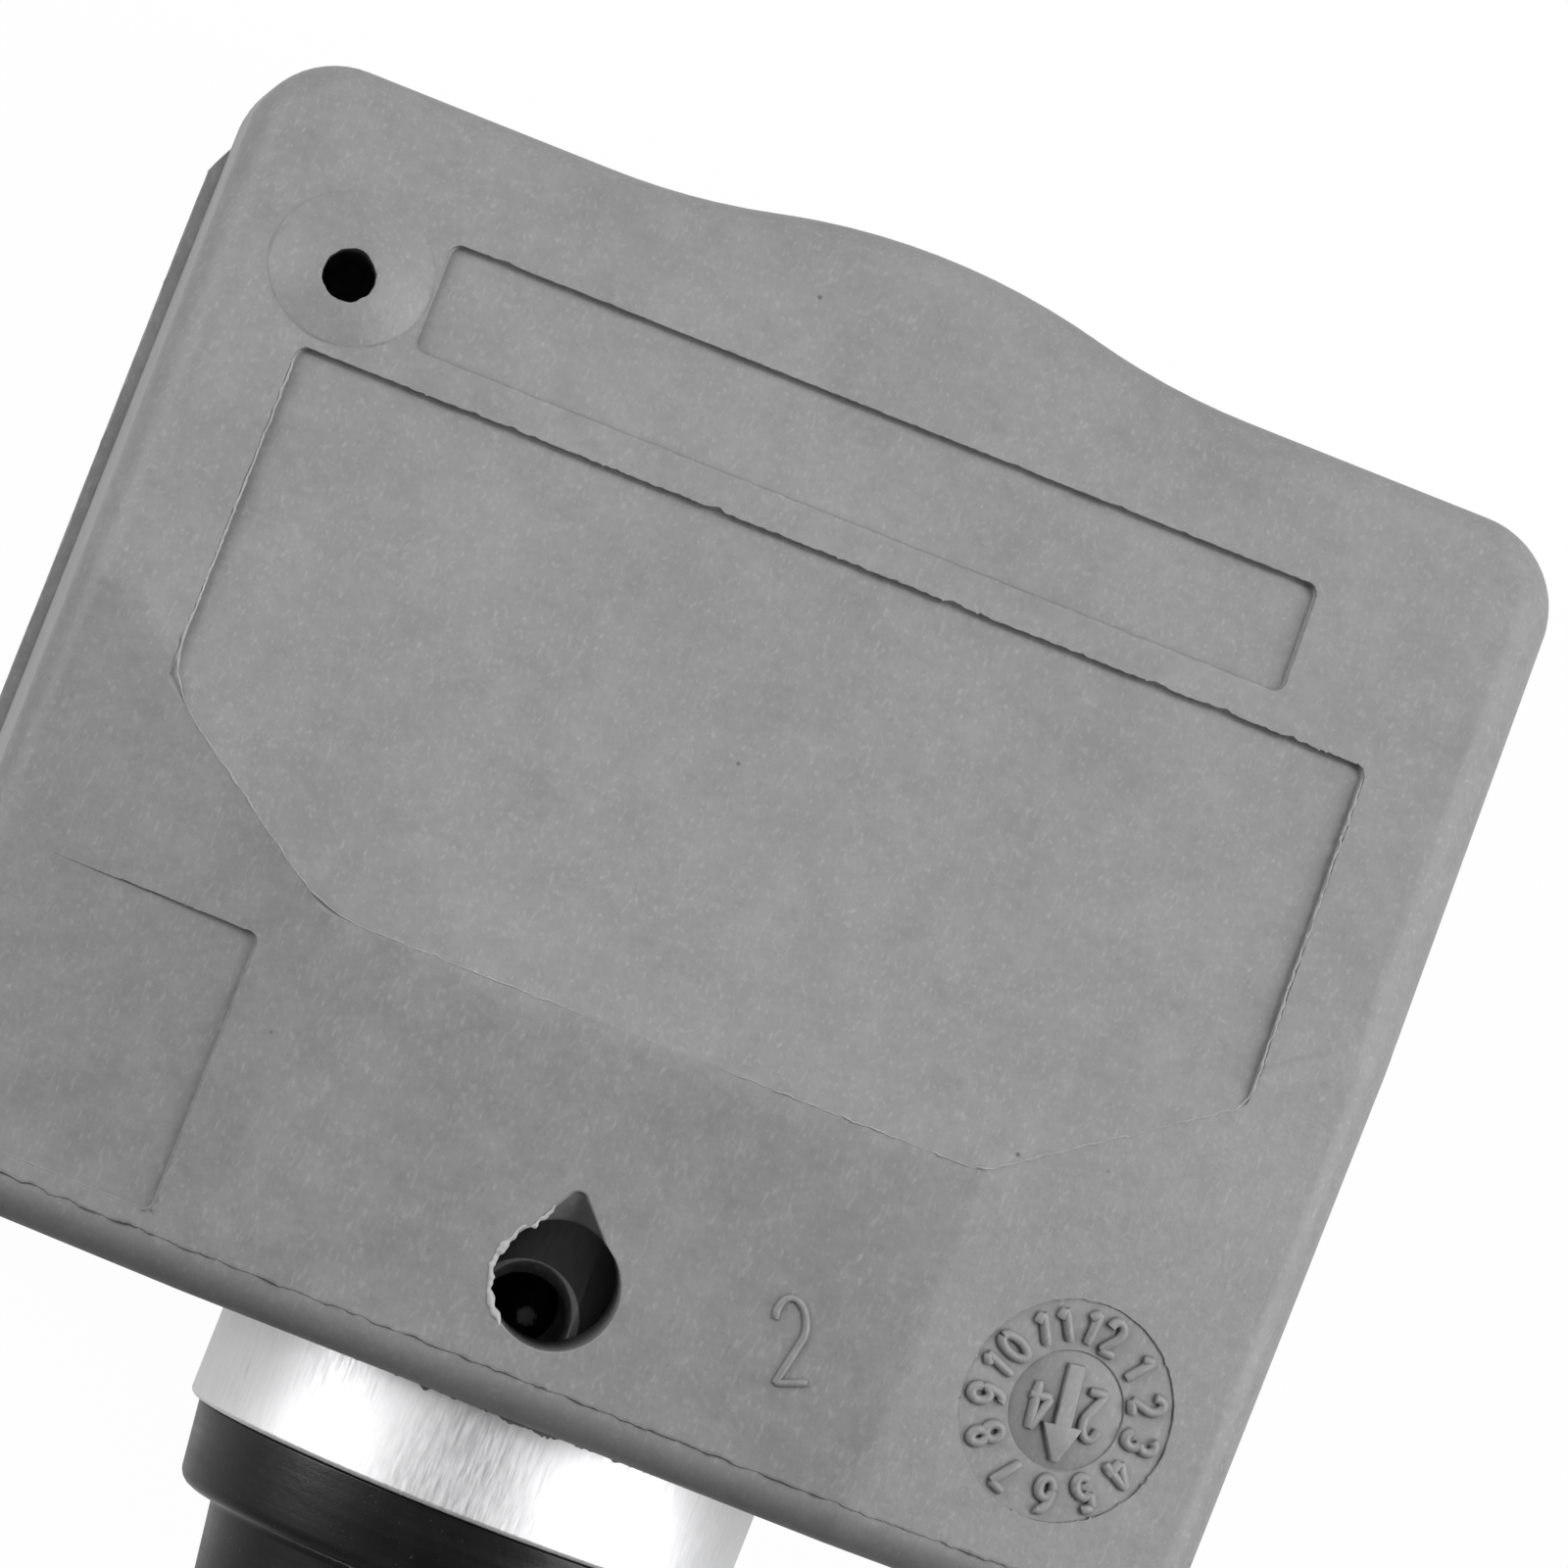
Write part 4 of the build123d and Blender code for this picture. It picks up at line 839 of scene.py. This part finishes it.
# The date dial: a round insert with the months, and an arrow on a smaller disc
DIAL_DEPTH = 0.12
DIAL_DISC_RADIUS = 1.65
DIAL_YEAR = "24"
DIAL_NUMBER_RADIUS = 2.33
DIAL_NUMBER_SIZE = (0.9, 0.65)  # height, and advance from digit to digit
DIAL_NUMBER_ASPECT = 0.74
DIAL_MONTH_TURNS = (41, 67, 93, 118, 145, 173, 203, 235, 262, 291, 330, 364)
DIAL_YEAR_HEIGHT = 1.3
DIAL_YEAR_SIDE = 0.80
DIAL_PLATE_RISE = 0.05
DIAL_ARROW_TURN = 172.0
DIAL_ARROW_RISE = 0.2
DIAL_ARROW_SINK = 0.05
ARROW_HALF = [(0.24, -1.3), (0.24, 0.4), (0.58, 0.4), (0.09, 1.42)]
DIAL_ROOT = -0.03
DIAL_EDGE = 0.03
DIAL_DISC_RISE = 0.015
DIAL_ALONG = Vector((0, 1, 0))
DIAL_ACROSS = DIAL_ALONG.cross(SIDE_NORMAL)
DIAL_STROKE = 0.145
DIAL_STROKE_LIFT = 0.05


def side_point(x, y, lift=0.0):
    """A point on the right side slope, lifted off it along its normal."""
    z = TOP_Z - (x - FLAT_HALF) * tan(radians(SIDE_SLOPE))
    return Vector((x, y, z)) + SIDE_NORMAL * lift


def dial_ways(turn):
    """The directions outward and to the right at a turn from the dial's top."""
    angle = radians(turn)
    out = DIAL_ACROSS * sin(angle) + DIAL_ALONG * cos(angle)
    right = DIAL_ACROSS * cos(angle) - DIAL_ALONG * sin(angle)
    return out, right


def dial_ring(name, section, centre, steps=96):
    """A closed ring whose (radius, rise) section is turned round the middle of the dial."""
    points = []
    for index in range(steps):
        out = dial_ways(360 * index / steps)[0]
        points += [centre + out * radius + SIDE_NORMAL * rise for radius, rise in section]
    return mesh_of(name, points, tube_faces(steps, len(section), closed=True))


def raised_plate(name, outline, rise, round_off):
    """A low plate on the surface that its outline lies in, with its upper edge rounded."""
    body = bmesh.new()
    corners = [body.verts.new(point * MM) for point in outline]
    plate = body.faces.new(corners)
    plate.normal_update()
    normal = plate.normal.copy()
    raised = bmesh.ops.extrude_face_region(body, geom=[plate])["geom"]
    lifted = [item for item in raised if isinstance(item, bmesh.types.BMVert)]
    bmesh.ops.translate(body, verts=lifted, vec=normal * rise * MM)
    bmesh.ops.recalc_face_normals(body, faces=body.faces)
    top = [edge for edge in body.edges if all(vert in lifted for vert in edge.verts)]
    bmesh.ops.bevel(body, geom=top, offset=round_off * MM, segments=3, profile=0.5, affect="EDGES")
    mesh = bpy.data.meshes.new(name)
    body.to_mesh(mesh)
    body.free()
    return mesh


def add_dial():
    """Months on the dial's rim, and an arrow between two plain digits on its lower disc."""
    floor = side_point(DIAL_X, DIAL_Y, -DIAL_DEPTH)
    rim = floor + SIDE_NORMAL * DIAL_PLATE_RISE
    lift = SIDE_NORMAL * DIAL_STROKE_LIFT
    lines = []
    for month, turn in enumerate(DIAL_MONTH_TURNS, 1):
        out, right = dial_ways(turn)
        place = rim + out * DIAL_NUMBER_RADIUS + lift
        lines += digit_lines(str(month), *DIAL_NUMBER_SIZE, place, right, out, DIAL_NUMBER_ASPECT)
    tip, right = dial_ways(DIAL_ARROW_TURN)
    for digit, side in zip(DIAL_YEAR, (-DIAL_YEAR_SIDE, DIAL_YEAR_SIDE)):
        place = floor + right * side + lift
        lines += digit_lines(digit, DIAL_YEAR_HEIGHT, DIAL_YEAR_HEIGHT, place, right, tip)
    mesh = stroke_mesh("dial_numbers", lines, DIAL_STROKE)
    add_piece("dial_numbers", mesh, housing_plastic)

    sunk = floor - SIDE_NORMAL * DIAL_ARROW_SINK
    arrow = ARROW_HALF + [(-x, y) for x, y in reversed(ARROW_HALF)]
    outline = [sunk + right * x + tip * y for x, y in arrow]
    mesh = raised_plate("dial_arrow", outline, DIAL_ARROW_RISE + DIAL_ARROW_SINK, 0.05)
    add_piece("dial_arrow", mesh, housing_plastic)

    inner = DIAL_DISC_RADIUS
    outer = DIAL_RADIUS + 0.02
    section = (
        (inner, DIAL_ROOT),
        (inner, DIAL_PLATE_RISE - DIAL_EDGE),
        (inner + DIAL_EDGE, DIAL_PLATE_RISE),
        (outer, DIAL_PLATE_RISE),
        (outer, DIAL_ROOT),
    )
    add_piece("dial_rim", dial_ring("dial_rim", section, floor), housing_plastic)
    section = (
        (0.01, DIAL_ROOT),
        (0.01, DIAL_DISC_RISE),
        (inner - 2 * DIAL_EDGE, DIAL_DISC_RISE),
        (inner - DIAL_EDGE, 0.0),
        (inner - DIAL_EDGE, DIAL_ROOT),
    )
    add_piece("dial_disc", dial_ring("dial_disc", section, floor), disc_plastic)


CAVITY_DIGIT = "2"
CAVITY_PLACE = Vector((6.41, 10.22, TOP_Z))
CAVITY_HEIGHT = 2.3
CAVITY_STROKE = 0.11


def add_cavity_digit():
    """The plain digit that tells one mould cavity from another."""
    up = Vector((-sin(radians(CAMERA_ROLL)), cos(radians(CAMERA_ROLL)), 0))
    right = Vector((up.y, -up.x, 0))
    advance = CAVITY_HEIGHT * DIGIT_ASPECT
    lines = digit_lines(CAVITY_DIGIT, CAVITY_HEIGHT, advance, CAVITY_PLACE, right, up)
    mesh = stroke_mesh("cavity_digit", lines, CAVITY_STROKE)
    add_piece("cavity_digit", mesh, housing_plastic)


# Flash: thin ragged ridges where the mould's halves meet

RIDGE_SECTION = ((-1.0, -0.6), (-0.55, 0.6), (0.0, 1.0), (0.55, 0.7), (1.0, -0.6))
RIDGE_SIZES = {  # width, height and coarseness
    "front_parting_line": (0.06, 0.09, 2.6),
    "label_burr_left": (0.045, 0.02, 4.0),
    "label_burr_right": (0.045, 0.04, 4.0),
    "outlet_flash": (0.13, 0.05, 1.7),
    "collar_flash": (0.05, 0.12, 3.0),
    "flange_flash": (0.03, 0.05, 3.0),
}
RIDGE_STEP = 0.08
RIDGE_FADE = 6  # steps over which a ridge runs out at each end
RIDGE_BURR_X = 2.0  # the label pocket's burr ends here along the flat roof
ROUND_STEPS = 12
RIM_ANGLES = [radians(5 + 0.6 * index) for index in range(284)]  # the upper half of a rim
OUTLET_ANGLES = [radians(236 - 1.5 * index) for index in range(69)]  # from its near side to its notch


def ragged_ridge(name, path, normals, material):
    """A low ridge along a path, whose width, height and course wander."""
    width, height, coarse = RIDGE_SIZES[name]
    points = []
    last = len(path) - 1
    for index, (point, normal) in enumerate(zip(path, normals)):
        ahead = path[min(index + 1, last)] - path[max(index - 1, 0)]
        across = ahead.cross(normal).normalized()
        fade = min(1.0, index / RIDGE_FADE, (last - index) / RIDGE_FADE)
        swing = noise.noise(point * coarse * 0.7) + 0.6 * noise.noise(point * coarse * 3.0)
        rough = 0.5 + noise.noise(point * coarse + Vector((7, 3, 1)))
        rough += 0.7 * noise.noise(point * coarse * 4.0)
        size = fade * max(0.15, rough)
        middle = point + across * swing * width
        for side, rise in RIDGE_SECTION:
            low = min(rise, 0.0) * width
            high = max(rise, 0.0) * height * size
            points.append(middle + across * side * width * (0.4 + 0.6 * size) + normal * (low + high))
    mesh = mesh_of(name, points, tube_faces(len(path), len(RIDGE_SECTION), flip=True))
    add_piece(name, mesh, material, sharp=70.0)


def roof_normal(x):
    """The roof's normal at x, where the long slope doesn't reach."""
    if abs(x) < FLAT_HALF:
        return UP
    return Vector((SIDE_NORMAL.x if x > 0 else -SIDE_NORMAL.x, 0, SIDE_NORMAL.z))


def label_edge(side):
    """Corners of the label pocket's edge: from its far corner down one side and in along the ridge."""
    far = Vector((side * LABEL_HALF, LABEL_FAR_Y - 0.3, 0))
    sunk = POCKET_DEPTH / cos(radians(MAIN_SLOPE))
    fall = (LABEL_HALF - FLAT_HALF) * tan(radians(SIDE_SLOPE))
    low_y = RIDGE_Y + (fall - sunk) / tan(radians(MAIN_SLOPE))
    turn = Vector((side * LABEL_HALF, low_y, 0))
    end = Vector((side * FLAT_HALF, RIDGE_Y - sunk / tan(radians(MAIN_SLOPE)), 0))
    inward = Vector((side * RIDGE_BURR_X, end.y, 0))
    return far, turn, end, inward


def dropped(point):
    """A point of the plan moved up onto the roof."""
    main = max(0.0, point.y - RIDGE_Y) * tan(radians(MAIN_SLOPE))
    side = max(0.0, abs(point.x) - FLAT_HALF) * tan(radians(SIDE_SLOPE))
    return Vector((point.x, point.y, TOP_Z - max(main, side)))


def walked(start, end):
    """Points of the roof along a line of the plan."""
    count = int((end - start).length / RIDGE_STEP)
    return [dropped(start.lerp(end, index / count)) for index in range(count + 1)]


def walked_round(corners, rounding):
    """Points of the roof along lines of the plan, whose corners are rounded off from this far."""
    stretches = []
    start = corners[0]
    for before, corner, after in zip(corners, corners[1:], corners[2:]):
        turn_in = corner + (before - corner).normalized() * rounding
        turn_out = corner + (after - corner).normalized() * rounding
        stretches += walked(start, turn_in)
        for index in range(1, ROUND_STEPS):
            share = index / ROUND_STEPS
            first = turn_in.lerp(corner, share)
            stretches.append(dropped(first.lerp(corner.lerp(turn_out, share), share)))
        start = turn_out
    return stretches + walked(start, corners[-1])


def rim_line(radius, y):
    """Points round the upper side of a rim on the valve axis."""
    return [Vector((radius * cos(angle), y, radius * sin(angle))) for angle in RIM_ANGLES]


def add_flash():
    """Thin ragged edges: parting line, label pocket, torn outlet, and the rims of collar and flange."""
    half = ROOF_HALF - EDGE_RADIUS - 0.3
    front = FRONT_Y + EDGE_RADIUS
    line = walked(Vector((-half, front, 0)), Vector((half, front, 0)))
    normals = [roof_normal(point.x) for point in line]
    # The parting line is drawn in the darker copy of the plastic: painted shade.
    ragged_ridge("front_parting_line", line, normals, shaded_line_plastic)
    # The burrs are drawn in the lighter copy of the plastic: painted highlight.
    for side, name, rounding in ((-1, "label_burr_left", 1.4), (1, "label_burr_right", 0.5)):
        line = walked_round(label_edge(side), rounding)
        ragged_ridge(name, line, [UP] * len(line), lit_burr_plastic)
    outlet = Vector((0, OUTLET_Y, TOP_Z))
    radius = OUTLET_RADIUS + 0.05
    line = [outlet + Vector((radius * cos(angle), radius * sin(angle), 0)) for angle in OUTLET_ANGLES]
    line += [outlet + NOTCH_FOOT.lerp(NOTCH_TIP, index / 30) for index in range(1, 20)]
    ragged_ridge("outlet_flash", line, [UP] * len(line), flash_plastic)
    line = rim_line(COLLAR_RADIUS, FRONT_Y)
    ragged_ridge("collar_flash", line, [Vector((0, -1, 0))] * len(line), housing_plastic)
    line = rim_line(FLANGE_RADIUS, FLANGE_Y)
    normals = [Vector((point.x, 0, point.z)).normalized() for point in line]
    ragged_ridge("flange_flash", line, normals, grommet_rubber)


# Threads on the stem

THREAD_SECTION = ((-0.44, 0.0), (-0.08, 1.0), (0.08, 1.0), (0.44, 0.0))


def add_thread(name, start_y, end_y, root, crest, pitch):
    """A helical ridge of vee section on the stem, which runs out at both ends."""
    per_turn = 64
    count = int((start_y - end_y) / pitch * per_turn)
    sunk = 0.02
    points = []
    for index in range(count + 1):
        angle = 2 * pi * index / per_turn
        fade = min(1.0, 2 * index / per_turn, 2 * (count - index) / per_turn)
        middle = start_y - pitch * index / per_turn
        for along, rise in THREAD_SECTION:
            radius = root - sunk + (crest - root + sunk) * rise * fade
            points.append((radius * cos(angle), middle + along * pitch, radius * sin(angle)))
    mesh = mesh_of(name, points, tube_faces(count + 1, len(THREAD_SECTION)))
    add_piece(name, mesh, stem_aluminium, sharp=35.0)


# The rubber grommet, turned from a rounded section of (y, radius, rounding) corners

GROMMET_CORNERS = (
    (2.4, 4.52, 0.0),
    (2.4, 7.6, 0.1),
    (0.0, 7.3, 0.5),
    (0.0, 6.3, 0.3),
    (-4.4, 5.65, 1.0),
    (-8.4, 5.65, 0.5),
    (-8.4, 4.52, 0.0),
)


def rounded_section(corners, steps=5):
    """A closed section from (y, radius, rounding) corners, with each corner turned into an arc."""
    section = []
    count = len(corners)
    for index, (y, r, rounding) in enumerate(corners):
        corner = Vector((y, r))
        if not rounding:
            section.append(corner)
            continue
        before = (Vector(corners[index - 1][:2]) - corner).normalized()
        after = (Vector(corners[(index + 1) % count][:2]) - corner).normalized()
        half = before.angle(after) / 2
        reach = rounding / tan(half)
        centre = corner + (before + after).normalized() * rounding / sin(half)
        first = corner + before * reach - centre
        last = corner + after * reach - centre
        for step in range(steps + 1):
            section.append(centre + first.lerp(last, step / steps).normalized() * rounding)
    return section


def turned_mesh(name, section, segments=128):
    """A closed section turned round the valve axis."""
    points = []
    for index in range(segments):
        angle = 2 * pi * index / segments
        points += [(r * cos(angle), y, r * sin(angle)) for y, r in section]
    mesh = mesh_of(name, points, tube_faces(segments, len(section), closed=True, flip=True))
    body = bmesh.new()
    body.from_mesh(mesh)
    bmesh.ops.recalc_face_normals(body, faces=body.faces)
    body.to_mesh(mesh)
    body.free()
    return mesh


def add_grommet():
    """Flange, cone and sleeve in one piece of rubber, with its rims rounded."""
    mesh = turned_mesh("rubber_grommet", rounded_section(GROMMET_CORNERS))
    add_piece("rubber_grommet", mesh, grommet_rubber, "sensor", "rim_grommet")


add_housing()
add_dial()
add_cavity_digit()
add_flash()
add_grommet()
add_cover()
add_softened("valve_stem", "stem_body", "sensor", "stem_aluminium", width=0.04)
add_softened("nut_washer", "washer_ring", "nut_washer", "plated_steel", width=0.08)
add_softened("hex_nut", "nut_body", "hex_nut", "plated_steel", width=0.10)
add_softened("valve_cap", "cap_body", "valve_cap", "cap_plastic", width=0.07)
add_spring()
add_thread("nut_thread", start_y=-9.4, end_y=-25.4, root=3.95, crest=4.5, pitch=1.0)
add_thread("cap_thread", start_y=-26.6, end_y=-38.6, root=3.43, crest=3.87, pitch=0.79375)

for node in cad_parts.values():
    for held in node.material_slots:
        held.material = FINISHES[held.material.name]


# Stage, light and camera

FLOOR_DROP = 0.02
FLOOR_REACH = 1500.0
OPENING_SHARE = 0.97  # of the base, under which the floor is open
WORLD_LIGHT = 0.055
LAMP_DISTANCE = 600.0


def base_outline():
    """The corners of the back cover's flat underside, in order."""
    body = cleaned("back_cover")
    underside = min(body.faces, key=lambda face: face.calc_center_median().z)
    outline = [vert.co / MM for vert in underside.verts]
    body.free()
    return outline


def seen_rays(tree):
    """Which rays are mirrored, and which show a surface: straight, in a mirror or through glass."""
    path = add_node(tree, "ShaderNodeLightPath").outputs
    seen = maths(tree, "MAXIMUM", path["Is Camera Ray"], path["Is Glossy Ray"])
    return path["Is Glossy Ray"], maths(tree, "MAXIMUM", seen, path["Is Transmission Ray"])


def add_stage():
    """A pale floor: white to the camera, with a soft shadow, and clear and open from below."""
    made, tree, shader = new_material("stage_white", Roughness=0.9, Base_Color=grey(0.48))
    mirrored, seen = seen_rays(tree)
    shine = ramp(tree, apart(tree, object_place(tree))["Y"], -25 * MM, 5 * MM, 0.3, 0.8)
    shown = blend_colour(tree, mirrored, grey(1.02), shine)
    glow = add_node(tree, "ShaderNodeEmission", Color=grey(1.0), Strength=shown)
    mixed = add_node(tree, "ShaderNodeMixShader", Fac=product(tree, seen, 0.96))
    tree.links.new(shader.outputs[0], mixed.inputs[1])
    tree.links.new(glow.outputs[0], mixed.inputs[2])
    clear = add_node(tree, "ShaderNodeBsdfTransparent")
    under = add_node(tree, "ShaderNodeNewGeometry").outputs["Backfacing"]
    sided = add_node(tree, "ShaderNodeMixShader", Fac=under)
    tree.links.new(mixed.outputs[0], sided.inputs[1])
    tree.links.new(clear.outputs[0], sided.inputs[2])
    tree.links.new(sided.outputs[0], tree.nodes["Material Output"].inputs["Surface"])
    middle = Vector((0, (FRONT_Y + FAR_Y) / 2, FLOOR_Z))
    outline = base_outline()
    count = len(outline)
    drop = UP * FLOOR_DROP
    points = [middle.lerp(point, OPENING_SHARE) - drop for point in outline]
    points += [middle + (point - middle).normalized() * FLOOR_REACH - drop for point in outline]
    sides = [(side, (side + 1) % count) for side in range(count)]
    faces = [(side, after, count + after, count + side) for side, after in sides]
    floor = new_object("floor", mesh_of("floor", points, faces))
    floor.data.materials.append(made)


def add_world():
    """Surroundings: white to the camera, soft as light, and in mirrors dimmer overhead and in front."""
    world = bpy.data.worlds.new("surroundings")
    world.use_nodes = True
    tree = world.node_tree
    mirrored, seen = seen_rays(tree)
    background = tree.nodes["Background"]
    background.inputs["Color"].default_value = grey(1.0)
    way = apart(tree, add_node(tree, "ShaderNodeTexCoord").outputs["Generated"])
    sides = ramp(tree, way["Z"], 0.55, 0.95, 1.0, 0.2)
    room = product(tree, sides, ramp(tree, way["Y"], -0.7, 0.1, 0.25, 1.0))
    light = ramp(tree, way["Z"], -0.05, 0.05, 0.7, WORLD_LIGHT)
    plain = blend_colour(tree, seen, light, grey(1.0))
    tree.links.new(blend_colour(tree, mirrored, plain, room), background.inputs["Strength"])
    bpy.context.scene.world = world


def add_lamp(name, direction, size, power):
    """A square soft lamp that faces the middle of the part."""
    data = bpy.data.lights.new(name, "AREA")
    data.size = size * MM
    data.energy = power
    lamp = new_object(name, data)
    middle = (cad_box[0] + cad_box[1]) / 2
    away = Vector(direction).normalized()
    lamp.location = middle + away * LAMP_DISTANCE * MM
    lamp.rotation_euler = away.to_track_quat("Z", "Y").to_euler()


def add_camera():
    """The camera at the photograph's view."""
    back = Vector((-sin(radians(CAMERA_LEAN_X)), sin(radians(CAMERA_LEAN_Y)), 1)).normalized()
    right = Vector((cos(radians(CAMERA_ROLL)), sin(radians(CAMERA_ROLL)), 0))
    right = (right - back * right.dot(back)).normalized()
    up = back.cross(right)
    data = bpy.data.cameras.new("camera")
    data.lens = CAMERA_LENS
    data.sensor_width = CAMERA_SENSOR
    camera = new_object("camera", data)
    turn = Matrix((right, up, back)).transposed().to_4x4()
    camera.matrix_world = Matrix.Translation((CAMERA_TARGET + back * CAMERA_DISTANCE) * MM) @ turn
    bpy.context.scene.camera = camera


bpy.context.scene.view_settings.view_transform = "Standard"
add_stage()
add_world()
add_lamp("key_lamp", (0.50, 0.54, 0.68), size=200.0, power=1.15)
add_lamp("right_lamp", (0.88, 0.12, 0.46), size=400.0, power=2.6)
add_lamp("left_lamp", (-0.70, 0.45, 0.56), size=400.0, power=1.85)
add_lamp("low_left_lamp", (-0.91, 0.02, 0.41), size=150.0, power=0.6)
add_camera()
